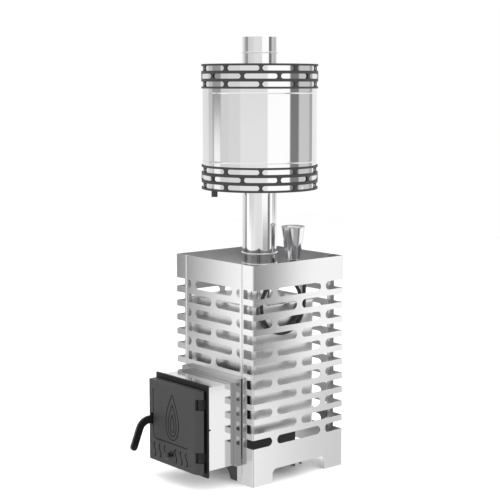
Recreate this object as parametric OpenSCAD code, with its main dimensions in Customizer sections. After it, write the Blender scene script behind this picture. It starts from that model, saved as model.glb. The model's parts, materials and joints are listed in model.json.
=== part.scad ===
// Wood-fired sauna heater stove: a slotted basket casing, a fire tunnel and a round water tank on the flue.
// Z is up and the front looks along -Y. The origin is on the floor, under the centre of the bounding box.
// The pieces are drawn about the flue axis and moved to that origin by placed().

/* [Casing] */
// Width of the casing
casing_w = 400; // [350:1:460]
// Depth of the casing
casing_d = 400; // [390:1:460]
// Height of the casing
casing_h = 720; // [620:1:820]
// Thickness of the casing sheet
sheet = 2; // [1.5:0.1:3]
// Height of the plain band at the top
top_band = 80; // [60:1:90]
// Height of a slot
slot_h = 29; // [20:0.5:29.5]
// Height of the bar between two slot rows
bar_h = 19.5; // [16:0.5:20]
// Narrowest width of the post between two slots
post_w = 22; // [14:1:30]
// Distance of the outer posts from the middle of a face
post_x = 107; // [90:1:110]
// Width of the centre panels
centre_w = 288; // [286:1:292]
// Length of a leg along a side
leg_w = 84; // [60:1:100]
// Height of the cut-out between two legs
cutout_h = 46; // [38:1:48]

/* [Firebox] */
// Width of the stone space at each side of the firebox
stone_side = 35; // [30:1:45]
// Depth of the firebox
firebox_d = 270; // [255:1:280]
// Height of the stone space above the firebox
stone_depth = 146; // [125:1:155]
// Thickness of the firebox walls
firebox_wall = 4; // [3:0.5:5]
// Distance of the firebox behind the casing's front
firebox_gap = 30; // [28:1:36]
// Height of the ash box under the firebox
ash_h = 92; // [88:1:96]

/* [Tunnel] */
// Width of the fire channel
channel_w = 216; // [210:1:218]
// Height of the fire channel
channel_h = 262; // [258:1:264]
// Width of the polished jacket
jacket_w = 256; // [250:1:260]
// Height of the polished jacket
jacket_h = 272; // [270:1:276]
// How far the door frame's back stands before the casing
tunnel_l = 128; // [110:1:150]
// Depth of the stepped collar
collar_d = 22; // [15:1:35]

/* [Door] */
// Thickness of the door frame
frame_t = 7; // [6:0.5:9]
// Distance of the door's left edge from the middle
door_left = 134; // [133:1:140]
// Depth of the door
door_d = 27; // [27:0.5:32]
// Height of the door
door_h = 270; // [268:1:274]
// Thickness of the door's face
door_t = 6; // [5:0.5:7]
// Radius of the hinge pins
pin_r = 4; // [3:0.25:4.25]
// Radius of the curve in the handle
grip_bend_r = 40; // [34:1:50]
// Straight length of the handle below the curve
grip_l = 61; // [45:1:75]
// Width of the handle
grip_w = 26; // [18:1:27]

/* [Flue and tank] */
// Outer diameter of the flue
flue_d = 115; // [100:1:120]
// Wall of the flue
flue_wall = 1.5; // [1:0.1:2]
// Length of the upper pipe above the tank's own pipe
upper_l = 54; // [40:1:200]
// Outer diameter of the tank
tank_d = 380; // [360:1:420]
// Height of the tank above the casing
tank_gap = 224; // [222:1:300]
// Height of the tank
tank_h = 412; // [380:1:420]
// Height of a slotted band
band_h = 80; // [76:1:90]
// Outer radius of the outlet's G 1/2 thread
outlet_r = 10.48; // [8.3:0.01:13.2]

/* [Steam funnel] */
// Height of the funnel cup
cup_h = 113; // [90:1:130]
// Radius of the cup's mouth
cup_mouth_r = 39.5; // [34:0.5:44]
// Radius of the cup's bottom
cup_foot_r = 24.5; // [20:0.5:30]
// Outer radius of the feed tube
tube_r = 6; // [5:0.5:6.5]

/* [Hidden] */
$fn = 64;

over = 1;
fit_gap = 0.3;
run_gap = 0.05;

// casing
bend_r = 4;
seam_gap = 1;
seam_bore_l = 6;
flange_strip = 8;
centre_strip = 10;
return_d = 18;
cutout_r = 18;
bottom_band = 100;
slot_pitch = slot_h + bar_h;
slot_r = slot_h / 2;
casing_rows = floor((casing_h - top_band - bottom_band) / slot_pitch);
flange_x = centre_w / 2 + seam_gap;
rear_panel_z = cutout_h;
seam_y = casing_d / 2 - sheet - return_d / 2;
bolt_r = 2.5;
bolt_head_r = 4.6;
bolt_head_h = 3.5;
bolt_drop = 40;
rear_bolt_z = [casing_h - bolt_drop, casing_h / 2, rear_panel_z + bolt_drop];

// rail and stands under the firebox
stand_z = 68;
rail_shift = 11;
rail_w = 39;
rail_drop = 31;
rail_wall = 3;
stand_t = 3;
stand_w = 222;
stand_setback = 8;
arch_r = 79.8;
arch_drop = 21;
strip_w = 20;
strip_d = 14;
strip_t = 1.5;
strip_gap = 2;
stand_front_y = -casing_d / 2 + stand_setback;

// firebox
firebox_w = casing_w - 2 * stone_side;
firebox_front = -casing_d / 2 + firebox_gap;
firebox_back = firebox_front + firebox_d;
firebox_mid = (firebox_front + firebox_back) / 2;
firebox_r = 15;
firebox_z = stand_z + ash_h;
firebox_roof = casing_h - stone_depth;
firebox_h = firebox_roof - firebox_z;
rail_y = firebox_mid + rail_shift;
ash_short = 32;
ash_back = firebox_back - ash_short;
roof_t = 5;
roof_lip = 3;
grate_shift = 5;
grate_y = firebox_mid - grate_shift;
grate_side_gap = 10;
grate_w = channel_w - 2 * grate_side_gap;
grate_l = 176;
grate_t = 16;
grate_rest = 8;
grate_bars = 9;
grate_slot_w = 10;
grate_rim = 20;
liner_t = 6;
liner_gap = 59;
liner_l = firebox_d - 2 * firebox_r;
liner_rib = 3;
liner_ribs = 5;
ledge_w = 12;
ledge_t = 4;
ledge_drop = 50;
deflector_t = 5;
deflector_l = 135;
steam_box_w = 32;
steam_box_l = 120;
steam_box_h = 70;
steam_box_wall = 3;
steam_hole_r = 4;
steam_holes = 5;
steam_hole_pitch = 14;
steam_hole_shift = 21;
steam_hole_rise = 14;

// feed tube beside the firebox
funnel_side = 30.5;
funnel_back = 28;
funnel_x = flue_d / 2 + funnel_side;
funnel_y = firebox_back - funnel_back;
tube_wall = 1.2;
tube_gap = 5;
tube_bend_r = 12;
tube_end_r = tube_gap + tube_r;
loop_shift = 16;
loop_rise = 3;
turn_step = 14.5;
turn_run = 2;
lead_run = 6;
fall_run = 24;
inlet_side = 38;
loop_y = firebox_mid - loop_shift;
loop_z = firebox_roof + loop_rise;
tube_x = firebox_w / 2 + tube_end_r;
socket_r = 10;
socket_h = 30;
socket_drop = 14.3;
socket_top = casing_h - socket_drop;
tube_high = socket_top - socket_h - fall_run - tube_bend_r;
lead_y = funnel_y - tube_bend_r - lead_run;
lead_z = tube_high - tube_bend_r;
loop_r = lead_y - tube_bend_r - loop_y;
tube_low = loop_z - loop_r;
inlet_y = loop_y - turn_run - tube_end_r;
inlet_z = tube_low + turn_step;
steam_box_mid = inlet_y + inlet_side;
liner_h = tube_low - steam_box_h / 2 - liner_gap - firebox_z - firebox_wall;

// tunnel
channel_wall = 4;
channel_z = stand_z;
shelf_t = 4;
channel_floor = channel_z + channel_wall;
frame_back = -casing_d / 2 - tunnel_l;
frame_front = frame_back - frame_t;
jacket_t = 1.5;
jacket_z = channel_z - channel_wall;
collar_front = -casing_d / 2 - collar_d;
collar_over = 10;
front_rows = floor((casing_h - top_band - jacket_z - jacket_h - collar_over) / slot_pitch);
front_panel_z = casing_h - top_band - front_rows * slot_pitch;
front_bolt_z = [casing_h - bolt_drop, front_panel_z + bolt_drop];
collar_w = centre_w - 2 * seam_gap;
collar_z = jacket_z - sheet;
collar_t = 1.5;
collar_tuck = 3;
pan_h = 44;
pan_t = 1.5;
pan_side_gap = 6;
pan_w = channel_w - 2 * (channel_wall + pan_side_gap);
pan_setback = 10;
pan_back = 40;
pan_pull_w = 60;
pan_pull_h = 14;
pan_pull_d = 6;

// door frame
frame_side = 8;
frame_below = 20;
frame_w = jacket_w + 2 * frame_side;
frame_h = jacket_h + frame_below + frame_side;
frame_z = jacket_z - frame_below;
cheek_t = 3.8;
cheek_gap = 0.2;
opening_w = channel_w - 2 * (channel_wall + cheek_gap + cheek_t);
opening_drop = 22;
opening_top = channel_z + channel_h - channel_wall - opening_drop;
fire_low = firebox_z;
ash_opening_h = 50;
ash_opening_top = channel_floor + ash_opening_h;
cheek_l = 16;
cheek_inset = 18;
groove_gap = 3;
groove_w = 7;
groove_d = 4;
seal_proud = 2.7;
frame_screw_r = 2.5;
frame_screw_head_r = 5;
frame_screw_head_t = 3;
frame_screw_y = 8;
frame_screw_inset = 30;
jacket_screw_r = 2;
jacket_screw_head_r = 3;
jacket_screw_head_t = 1.5;
jacket_screw_y = 9;
jacket_lug_l = 18;
jacket_lug_w = 12;
jacket_lug_h = 20;
jacket_screw_right_up = 133;
jacket_screw_left_up = 56;
jacket_screw_right_z = jacket_z + jacket_screw_right_up;
jacket_screw_left_z = jacket_z + jacket_screw_left_up;

// door
door_gap = 3;
door_back = frame_front - door_gap;
door_front = door_back - door_d;
door_inner = door_front + door_t;
door_rise = 12;
door_z = frame_z + door_rise;
door_top = door_z + door_h;
hinge_inset = 17;
hinge_x = frame_w / 2 - hinge_inset;
door_flat_side = 18;
door_flat_x = hinge_x - door_flat_side;
door_edge_r = 33;
barrel_r = 12;
hinge_y = door_back - barrel_r;
rim_t = 6;
rib_x = opening_w / 2 + groove_gap;
rib_side = rib_x + groove_w;
rib_low = fire_low - groove_gap - groove_w;
pocket_side = door_left - rim_t;
pocket_low = door_z + rim_t;
pocket_top = opening_top + groove_gap;
notch_h = 35;
notch_rise = 37;
notch_drop = 61;
notch_low = door_z + notch_rise;
notch_high = door_top - notch_drop;
notch_side = 9.5;
lug_gap = 1;
lug_r = 8;
pin_rise = 10;
pin_drop = 4;
pin_low_l = 84;
pin_high_l = 81;
pin_low_z = door_z + pin_rise;
pin_low_end = pin_low_z + pin_low_l;
pin_high_end = door_top - pin_drop;
pin_high_z = pin_high_end - pin_high_l;

// air vents, shutter and knob
vent_mid = -20;
vent_pitch = 28.5;
vent_side_share = [-3, -2, -1, 1, 2, 3];
vent_rise = 14;
vent_z = door_z + vent_rise;
vent_h = 47;
vent_w = 5;
vent_wave = 5;
vent_steps = 12;
shutter_gap = 0.4;
shutter_t = 3;
shutter_end = 12.5;
shutter_over = 12;
shutter_l = 2 * (max(vent_side_share) * vent_pitch + shutter_end);
shutter_h = vent_h + shutter_over;
shutter_travel = 12;
guide_t = 2.2;
guide_lip = 5;
guide_end = 2;
knob_rise = 23;
knob_z = vent_z + knob_rise;
stem_r = 3;
stem_gap = 0.5;
knob_base_r = 9;
knob_neck_r = 7;
knob_head_r = 12;
knob_l = 21;
knob_neck_share = 0.35;
knob_head_share = 0.75;
knob_stand = 0.5;

// latch lever
lever_inset = 13;
lever_rise = 136;
lever_x = door_left - lever_inset;
lever_t = 6;
lever_z = door_z + lever_rise;
lever_y = hinge_y;
lever_pin_r = 3;
lever_boss_r = 7;
lever_arm_h = 10;
nose_l = 8;
nose_h = 10;
nose_gap = 2;
lever_arm_l = frame_back + nose_gap + nose_l - lever_y;
grip_run = 28;
grip_turn = 68;
grip_t = 8;
grip_bend_steps = 17;
grip_end_steps = 24;
lever_slot_w = 12;
lever_slot_low = 17.5;
lever_slot_high = 21.5;
keeper_low = 31;
keeper_high = 11;
keeper_h = 14;
latch_pin_bite = 3;

// outline of the handle: x outward from the pin, y up; straight, then curved down to its long straight end
function grip_point(middle, r, angle) = middle + r * [cos(angle), sin(angle)];
grip_bend_mid = [grip_run, -grip_bend_r];
grip_end_angle = 90 - grip_turn;
grip_straight = grip_l * [cos(grip_turn), -sin(grip_turn)];
grip_end_mid = grip_point(grip_bend_mid, grip_bend_r, grip_end_angle) + grip_straight;
grip_bend = [for (i = [0 : grip_bend_steps]) 90 - i * grip_turn / grip_bend_steps];
grip_end = [for (i = [0 : grip_end_steps]) grip_end_angle - i * 180 / grip_end_steps];
grip_outline = concat(
  [[0, -grip_w / 2], [0, grip_w / 2]],
  [for (angle = grip_bend) grip_point(grip_bend_mid, grip_bend_r + grip_w / 2, angle)],
  [for (angle = grip_end) grip_point(grip_end_mid, grip_w / 2, angle)],
  [for (i = [grip_bend_steps : -1 : 0]) grip_point(grip_bend_mid, grip_bend_r - grip_w / 2, grip_bend[i])]
);

// heat shield behind the door
shield_side = 8;
shield_edge = 4;
shield_w = opening_w - 2 * shield_side;
shield_low = fire_low + shield_edge;
shield_h = opening_top - fire_low - 2 * shield_edge;
shield_t = 2;
shield_stand = 16;
spacer_r = 4;
spacer_inset = 15;

// flue
flue_r = flue_d / 2;
outlet_reach = 14;
outlet_low = firebox_roof - outlet_reach;
joint_drop = 8;
joint_z = casing_h - joint_drop;
collar_h = 39;
collar_below = 20;
collar_low = joint_z - collar_below;
collar_wall = 1.5;
bead_r = 2.2;
joint_rise = 35;
tank_z = casing_h + tank_gap;
upper_z = tank_z + tank_h + joint_rise;
flue_top = upper_z + upper_l;
upper_bead_r = 2.5;
sleeve_l = 26;
sleeve_gap = 0.1;

// tank
tank_r = tank_d / 2;
tank_wall = 1.5;
tank_inset = 2;
tank_bead_r = 2.5;
tank_bead_gap = 14;
disc_t = 2;
bottom_inset = 6;
top_inset = 18;
bottom_disc_z = tank_z + bottom_inset;
top_disc_z = tank_z + tank_h - top_inset;
disc_gap = 0.1;
band_stand = 2;
band_t = 2;
band_r = tank_r + band_stand + band_t;
band_rows = 3;
band_slot_h = 16;
band_pitch = 25.5;
band_posts = 10;
band_post_w = 10;
band_turn = -39.75;
spacer_pad_r = 4;
spacers = 5;
outlet_inset = 39;
outlet_angle = -130.4;
outlet_x = (tank_r - outlet_inset) * cos(outlet_angle);
outlet_y = (tank_r - outlet_inset) * sin(outlet_angle);
outlet_bore_r = 7.5;
outlet_l = 29;
outlet_flange_r = 16;
outlet_flange_t = 4;
outlet_stub = 10;
outlet_nut_r = 15;
outlet_nut_t = 7;

// filler
hatch_r = 42;
neck_t = 3;
neck_h = 6;
lid_t = 2;
lid_over = 2;
lid_hinge_gap = 6;
lid_barrel_r = 3.5;
lid_pin_r = 1.5;
lid_barrel_w = 17.4;
lid_ear_w = 6;
lid_knob_r = 8;
lid_knob_h = 6;
lid_flue_gap = 12.5;
lid_hinge_y = -flue_r - lid_flue_gap;
hatch_y = lid_hinge_y - lid_hinge_gap - lid_over - neck_t - hatch_r;
lid_z = top_disc_z + disc_t + neck_h + fit_gap;
lid_hinge_z = lid_z + lid_t / 2;

// funnel
cup_wall = 1.2;
cup_rim_r = 2;
nozzle_r = 7.5;
nozzle_l = 24;
cup_z = socket_top + fit_gap;

// place of the flue axis in the part's own frame
grip_reach = max([for (point = grip_outline) point[0]]);
front_reach = grip_reach - lever_y;
placed_y = (front_reach - casing_d / 2) / 2;

module placed() {
  translate([0, placed_y, 0]) children();
}

// a box given by its low and high corners
module block(low, high) {
  translate(low) cube(high - low);
}

// a cylinder between two points of one axis
module bar_x(x0, x1, y, z, r) {
  translate([x0, y, z]) rotate([0, 90, 0]) cylinder(h = x1 - x0, r = r);
}

module bar_y(x, y0, y1, z, r) {
  translate([x, y1, z]) rotate([90, 0, 0]) cylinder(h = y1 - y0, r = r);
}

module bar_z(x, y, z0, z1, r) {
  translate([x, y, z0]) cylinder(h = z1 - z0, r = r);
}

module tube_z(z0, z1, r, wall) {
  difference() {
    bar_z(0, 0, z0, z1, r);
    bar_z(0, 0, z0 - over, z1 + over, r - wall);
  }
}

// flat outline with round corners, centred on the origin
module round_rect(w, d, r) {
  square([w - 2 * r, d], center = true);
  square([w, d - 2 * r], center = true);
  for (sx = [-1, 1], sy = [-1, 1]) {
    translate([sx * (w / 2 - r), sy * (d / 2 - r)]) circle(r = r);
  }
}

// rectangular duct along Y, given by its outer size
module duct(w, y0, y1, z0, z1, wall) {
  difference() {
    block([-w / 2, y0, z0], [w / 2, y1, z1]);
    block([-w / 2 + wall, y0 - over, z0 + wall], [w / 2 - wall, y1 + over, z1 - wall]);
  }
}

// casing

function row_z(row) = casing_h - top_band - slot_r - row * slot_pitch;
function row_posts(row) = row % 2 == 0 ? [-post_x, post_x] : [0];

// cutter for one slot in a face that stands along X, with round or flat ends
module slot_cut(x0, x1, z, round0, round1) {
  e0 = round0 ? slot_r : 0;
  e1 = round1 ? slot_r : 0;
  block([x0 + e0, -bend_r - over, z - slot_r], [x1 - e1, bend_r + over, z + slot_r]);
  if (round0) bar_y(x0 + slot_r, -bend_r - over, bend_r + over, z, slot_r);
  if (round1) bar_y(x1 - slot_r, -bend_r - over, bend_r + over, z, slot_r);
}

// one row of slots between two flat ends
module row_cut(row, x0, x1) {
  posts = row_posts(row);
  last = len(posts) - 1;
  slot_cut(x0, posts[0] - post_w / 2, row_z(row), false, true);
  if (last > 0) slot_cut(posts[0] + post_w / 2, posts[last] - post_w / 2, row_z(row), true, true);
  slot_cut(posts[last] + post_w / 2, x1, row_z(row), true, false);
}

module casing_outline() {
  difference() {
    round_rect(casing_w, casing_d, bend_r);
    round_rect(casing_w - 2 * sheet, casing_d - 2 * sheet, bend_r - sheet);
  }
}

// holes for the seam bolts, through both returns
module seam_holes(heights, side, front) {
  for (z = heights) {
    x = side * centre_w / 2;
    bar_x(x - seam_bore_l, x + seam_bore_l, front * seam_y, z, bolt_r + fit_gap / 2);
  }
}

module side_panel() {
  side = casing_w / 2;
  face = casing_d / 2;
  difference() {
    linear_extrude(casing_h) {
      intersection() {
        casing_outline();
        translate([flange_x, -casing_d]) square([casing_w, 2 * casing_d]);
      }
      for (y = [-face + sheet, face - sheet - return_d]) {
        translate([flange_x, y]) square([sheet, return_d]);
      }
    }
    for (row = [0 : casing_rows - 1]) {
      translate([side, 0, 0]) rotate([0, 0, 90]) row_cut(row, -face - over, face + over);
      z = row_z(row);
      for (y = [-face, face]) {
        low = [flange_x + flange_strip, y - bend_r, z - slot_r];
        block(low, [side + over, y + bend_r, z + slot_r]);
      }
    }
    leg_cutout(side, casing_d / 2 - leg_w);
    seam_holes(front_bolt_z, 1, -1);
    seam_holes(rear_bolt_z, 1, 1);
  }
}

// space between two legs, with rounded upper corners
module leg_cutout(x, half) {
  low = x - bend_r;
  high = x + over;
  block([low, -half, -over], [high, half, cutout_h - cutout_r]);
  block([low, -half + cutout_r, -over], [high, half - cutout_r, cutout_h]);
  for (y = [-half + cutout_r, half - cutout_r]) {
    bar_x(low, high, y, cutout_h - cutout_r, cutout_r);
  }
}

module centre_panel(z0, rows, heights) {
  half = centre_w / 2;
  difference() {
    translate([0, 0, z0]) linear_extrude(casing_h - z0) {
      translate([-half, -casing_d / 2]) square([centre_w, sheet]);
      for (x = [-half, half - sheet]) {
        translate([x, -casing_d / 2]) square([sheet, sheet + return_d]);
      }
    }
    for (row = [0 : rows - 1]) {
      translate([0, -casing_d / 2, 0]) row_cut(row, -half + centre_strip, half - centre_strip);
    }
    for (side = [-1, 1]) seam_holes(heights, side, -1);
  }
}

module side_panel_right() {
  color("silver") placed() side_panel();
}

module side_panel_left() {
  color("silver") placed() mirror([1, 0, 0]) side_panel();
}

module front_grille() {
  color("gainsboro") placed() centre_panel(front_panel_z, front_rows, front_bolt_z);
}

module rear_grille() {
  color("gainsboro") placed() mirror([0, 1, 0]) centre_panel(rear_panel_z, casing_rows, rear_bolt_z);
}

// bolt with a head outside the flange's return and a nut inside the panel's return
module seam_bolt(z) {
  inner = centre_w / 2 - sheet;
  outer = flange_x + sheet;
  translate([0, seam_y, z]) rotate([0, 90, 0]) {
    translate([0, 0, inner - bolt_head_h]) cylinder(h = outer - inner + 2 * bolt_head_h, r = bolt_r);
    translate([0, 0, inner - bolt_head_h]) cylinder(h = bolt_head_h, r = bolt_head_r, $fn = 6);
    translate([0, 0, outer]) cylinder(h = bolt_head_h, r = bolt_head_r, $fn = 6);
  }
}

module seam_bolts() {
  color("dimgray") placed() {
    for (side = [0, 1]) mirror([side, 0, 0]) {
      for (z = rear_bolt_z) seam_bolt(z);
      for (z = front_bolt_z) mirror([0, 1, 0]) seam_bolt(z);
    }
  }
}

// base under the firebox

module cross_rail() {
  half = casing_w / 2 - sheet - fit_gap;
  low = stand_z - rail_drop;
  color("dimgray") placed() difference() {
    block([-half, rail_y, low], [half, rail_y + rail_w, stand_z]);
    block([-half - over, rail_y + rail_wall, low - over],
      [half + over, rail_y + rail_w - rail_wall, stand_z - rail_wall]);
  }
}

module stand(y) {
  difference() {
    block([-stand_w / 2, y, 0], [stand_w / 2, y + stand_t, stand_z]);
    bar_y(0, y - over, y + stand_t + over, -arch_drop, arch_r);
  }
}

module stand_front() {
  color("dimgray") placed() stand(stand_front_y);
}

module stand_rear() {
  color("dimgray") placed() stand(ash_back - 2 * stand_t);
}

module stand_strips() {
  x = stand_w / 2 + strip_gap;
  color("gainsboro") placed() for (side = [0, 1]) mirror([side, 0, 0]) difference() {
    block([stand_w / 2, stand_front_y, 0], [x + strip_w, stand_front_y + strip_d, collar_z]);
    block([x, stand_front_y + strip_t, -over], [x + strip_w - strip_t, stand_front_y + strip_d + over,
      collar_z + over]);
  }
}

// firebox

module ash_box() {
  wall = channel_wall;
  half = channel_w / 2;
  color("#2b2b2b") placed() difference() {
    block([-half, firebox_front, stand_z], [half, ash_back, firebox_z]);
    block([-half + wall, firebox_front - over, stand_z + wall],
      [half - wall, ash_back - wall, firebox_z + over]);
  }
}

module firebox_outline(grow) {
  translate([0, firebox_mid]) round_rect(firebox_w + 2 * grow, firebox_d + 2 * grow, firebox_r + grow);
}

module firebox_body() {
  half = firebox_w / 2;
  floor_top = firebox_z + firebox_wall;
  ledge_x = half - firebox_wall;
  ledge_z = firebox_roof - ledge_drop;
  back = firebox_back - firebox_wall;
  color("silver") placed() {
    difference() {
      translate([0, 0, firebox_z]) linear_extrude(firebox_h) firebox_outline(0);
      translate([0, 0, floor_top]) linear_extrude(firebox_h) firebox_outline(-firebox_wall);
      block([-channel_w / 2 + channel_wall, firebox_front - over, floor_top],
        [channel_w / 2 - channel_wall, firebox_front + firebox_wall + over,
        channel_z + channel_h - channel_wall]);
      block([-grate_w / 2 + grate_rest, grate_y - grate_l / 2 + grate_rest, firebox_z - over],
        [grate_w / 2 - grate_rest, grate_y + grate_l / 2 - grate_rest, floor_top + over]);
      bar_x(ledge_x - over, half + over, inlet_y, inlet_z, tube_r + fit_gap / 2);
      for (i = [0 : steam_holes - 1]) {
        y = steam_box_mid + steam_hole_shift - (i - (steam_holes - 1) / 2) * steam_hole_pitch;
        bar_x(ledge_x - over, half + over, y, tube_low + steam_hole_rise, steam_hole_r);
      }
    }
    for (side = [0, 1]) mirror([side, 0, 0]) {
      block([ledge_x - ledge_w, back - deflector_l, ledge_z], [ledge_x, back - firebox_r, ledge_z + ledge_t]);
    }
  }
}

module firebox_top() {
  color("gainsboro") placed() difference() {
    translate([0, 0, firebox_roof]) linear_extrude(roof_t) firebox_outline(roof_lip);
    bar_z(0, 0, firebox_roof - over, firebox_roof + roof_t + over, flue_r + fit_gap / 2);
  }
}

module liner() {
  x = firebox_w / 2 - firebox_wall;
  z = firebox_z + firebox_wall;
  y = firebox_mid - liner_l / 2;
  block([x - liner_t, y, z], [x, y + liner_l, z + liner_h]);
  for (i = [0 : liner_ribs - 1]) {
    rib_y = y + (i + 1) * liner_l / (liner_ribs + 1);
    block([x - liner_t - liner_rib, rib_y, z], [x - liner_t, rib_y + liner_rib, z + liner_h]);
  }
}

module liner_right() {
  color("#303030") placed() liner();
}

module liner_left() {
  color("#303030") placed() mirror([1, 0, 0]) liner();
}

module grate() {
  z = firebox_z + firebox_wall;
  pitch = (grate_w - 2 * grate_rim) / (grate_bars - 1);
  half_l = grate_l / 2 - grate_rim;
  color("#2a2a2a") placed() translate([0, grate_y, z]) difference() {
    translate([-grate_w / 2, -grate_l / 2, 0]) cube([grate_w, grate_l, grate_t]);
    for (i = [0 : grate_bars - 1]) translate([(i - (grate_bars - 1) / 2) * pitch, 0, -over]) {
      translate([-grate_slot_w / 2, -half_l, 0]) cube([grate_slot_w, 2 * half_l, grate_t + 2 * over]);
      for (end = [-1, 1]) {
        translate([0, end * half_l, 0]) cylinder(h = grate_t + 2 * over, d = grate_slot_w);
      }
    }
  }
}

module flame_deflector() {
  half = firebox_w / 2 - firebox_wall - fit_gap;
  back = firebox_back - firebox_wall;
  z = firebox_roof - ledge_drop + ledge_t;
  color("#383838") placed() {
    block([-half, back - deflector_l, z], [half, back - firebox_r, z + deflector_t]);
  }
}

module steam_box() {
  x1 = firebox_w / 2 - firebox_wall;
  x0 = x1 - steam_box_w;
  y0 = steam_box_mid - steam_box_l / 2;
  z0 = tube_low - steam_box_h / 2;
  wall = steam_box_wall;
  color("#404040") placed() difference() {
    block([x0, y0, z0], [x1, y0 + steam_box_l, z0 + steam_box_h]);
    block([x0 + wall, y0 + wall, z0 + wall], [x1 + over, y0 + steam_box_l - wall, z0 + steam_box_h - wall]);
  }
}

// part of a bent tube: an arc about Z in the tube's own plane
module tube_arc(r, angle, tube, wall) {
  rotate_extrude(angle = angle) translate([r, 0]) difference() {
    circle(r = tube);
    circle(r = tube - wall);
  }
}

module tube_run(length, tube, wall) {
  difference() {
    cylinder(h = length, r = tube);
    translate([0, 0, -over]) cylinder(h = length + 2 * over, r = tube - wall);
  }
}

// turns what is drawn so that its x looks to the back and its y up
module in_loop_plane(y, z) {
  translate([tube_x, y, z]) rotate([90, 0, 90]) children();
}

// runs down from the funnel's socket, turns one and a half times and ends in the firebox wall
module steam_tube() {
  b = tube_bend_r;
  e = tube_end_r;
  top = tube_high + b;
  low = socket_top - socket_h;
  run_x = tube_x - funnel_x - 2 * b;
  color("#2f2f2f") placed() {
    translate([funnel_x, funnel_y, low]) difference() {
      cylinder(h = socket_h, r = socket_r);
      translate([0, 0, tube_wall]) cylinder(h = socket_h, r = nozzle_r + fit_gap);
      translate([0, 0, -over]) cylinder(h = socket_h, r = tube_r - tube_wall);
    }
    translate([funnel_x, funnel_y, top]) tube_run(low - top, tube_r, tube_wall);
    translate([funnel_x + b, funnel_y, top]) rotate([90, 0, 0]) rotate([0, 0, 180]) {
      tube_arc(b, 90, tube_r, tube_wall);
    }
    translate([funnel_x + b, funnel_y, tube_high]) rotate([0, 90, 0]) tube_run(run_x, tube_r, tube_wall);
    translate([tube_x - b, funnel_y - b, tube_high]) tube_arc(b, 90, tube_r, tube_wall);
    translate([tube_x, funnel_y - b, tube_high]) rotate([90, 0, 0]) tube_run(lead_run, tube_r, tube_wall);
    in_loop_plane(lead_y, lead_z) rotate([0, 0, 90]) tube_arc(b, 90, tube_r, tube_wall);
    translate([tube_x, loop_y + loop_r, loop_z]) tube_run(lead_z - loop_z, tube_r, tube_wall);
    in_loop_plane(loop_y, loop_z) rotate([0, 0, 180]) tube_arc(loop_r, 180, tube_r, tube_wall);
    translate([tube_x, loop_y - loop_r, loop_z]) tube_run(turn_run, tube_r, tube_wall);
    in_loop_plane(loop_y - turn_step / 2, loop_z + turn_run) {
      tube_arc(loop_r - turn_step / 2, 180, tube_r, tube_wall);
    }
    translate([tube_x, loop_y + loop_r - turn_step, loop_z]) tube_run(turn_run, tube_r, tube_wall);
    in_loop_plane(loop_y, loop_z) rotate([0, 0, -90]) tube_arc(loop_r - turn_step, 90, tube_r, tube_wall);
    translate([tube_x, loop_y, inlet_z]) rotate([90, 0, 0]) tube_run(turn_run, tube_r, tube_wall);
    translate([tube_x - e, loop_y - turn_run, inlet_z]) rotate([0, 0, -90]) {
      tube_arc(e, 90, tube_r, tube_wall);
    }
    translate([tube_x - e, inlet_y, inlet_z]) rotate([0, -90, 0]) tube_run(firebox_wall, tube_r, tube_wall);
  }
}

// tunnel

module fire_channel() {
  color("#383838") placed() difference() {
    duct(channel_w, frame_back, firebox_front, channel_z, channel_z + channel_h, channel_wall);
    frame_screw_bores();
  }
}

module channel_shelf() {
  half = channel_w / 2 - channel_wall;
  color("#383838") placed() {
    block([-half, frame_back + cheek_l + over, firebox_z - shelf_t], [half, firebox_front, firebox_z]);
  }
}

module ash_pan() {
  half = pan_w / 2;
  front = frame_back + pan_setback;
  back = ash_back - pan_back;
  z = channel_floor;
  color("silver") placed() {
    difference() {
      block([-half, front, z], [half, back, z + pan_h]);
      block([-half + pan_t, front + pan_t, z + pan_t], [half - pan_t, back - pan_t, z + pan_h + over]);
    }
    pull_z = z + pan_h / 2;
    for (x = [-pan_pull_w / 2, pan_pull_w / 2 - pan_pull_d]) {
      block([x, front - pan_pull_h, pull_z], [x + pan_pull_d, front, pull_z + pan_pull_d]);
    }
    block([-pan_pull_w / 2, front - pan_pull_h, pull_z],
      [pan_pull_w / 2, front - pan_pull_h + pan_pull_d, pull_z + pan_pull_d]);
  }
}

// the jacket's screw places: side, height
jacket_screw_places = [[1, jacket_screw_right_z], [-1, jacket_screw_left_z]];

module tunnel_jacket() {
  color("whitesmoke") placed() difference() {
    duct(jacket_w, frame_back, collar_front + collar_tuck, jacket_z, jacket_z + jacket_h, jacket_t);
    for (place = jacket_screw_places) {
      x = place[0] * jacket_w / 2;
      bar_x(x - 2 * jacket_t, x + 2 * jacket_t, frame_back + jacket_screw_y, place[1], jacket_screw_r);
    }
  }
}

module tunnel_collar() {
  half = collar_w / 2;
  back = -casing_d / 2 + sheet;
  hole = jacket_w / 2 + fit_gap;
  color("silver") placed() difference() {
    block([-half, collar_front, collar_z], [half, back, front_panel_z]);
    block([-half + collar_t, collar_front + collar_t, collar_z + collar_t],
      [half - collar_t, back + over, front_panel_z - collar_t]);
    block([-hole, collar_front - over, jacket_z - fit_gap], [hole, back, jacket_z + jacket_h + fit_gap]);
  }
}

module jacket_screws() {
  color("#202020") placed() for (place = jacket_screw_places) {
    translate([0, frame_back + jacket_screw_y, place[1]]) rotate([0, place[0] * 90, 0]) {
      half = jacket_w / 2;
      translate([0, 0, half - jacket_lug_w]) cylinder(h = jacket_lug_w, r = jacket_screw_r);
      translate([0, 0, half]) cylinder(h = jacket_screw_head_t, r = jacket_screw_head_r);
    }
  }
}

// door frame

// block round the fire opening, larger by gap all round
module ring_block(gap, y0, y1) {
  block([-opening_w / 2 - gap, y0, fire_low - gap], [opening_w / 2 + gap, y1, opening_top + gap]);
}

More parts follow.
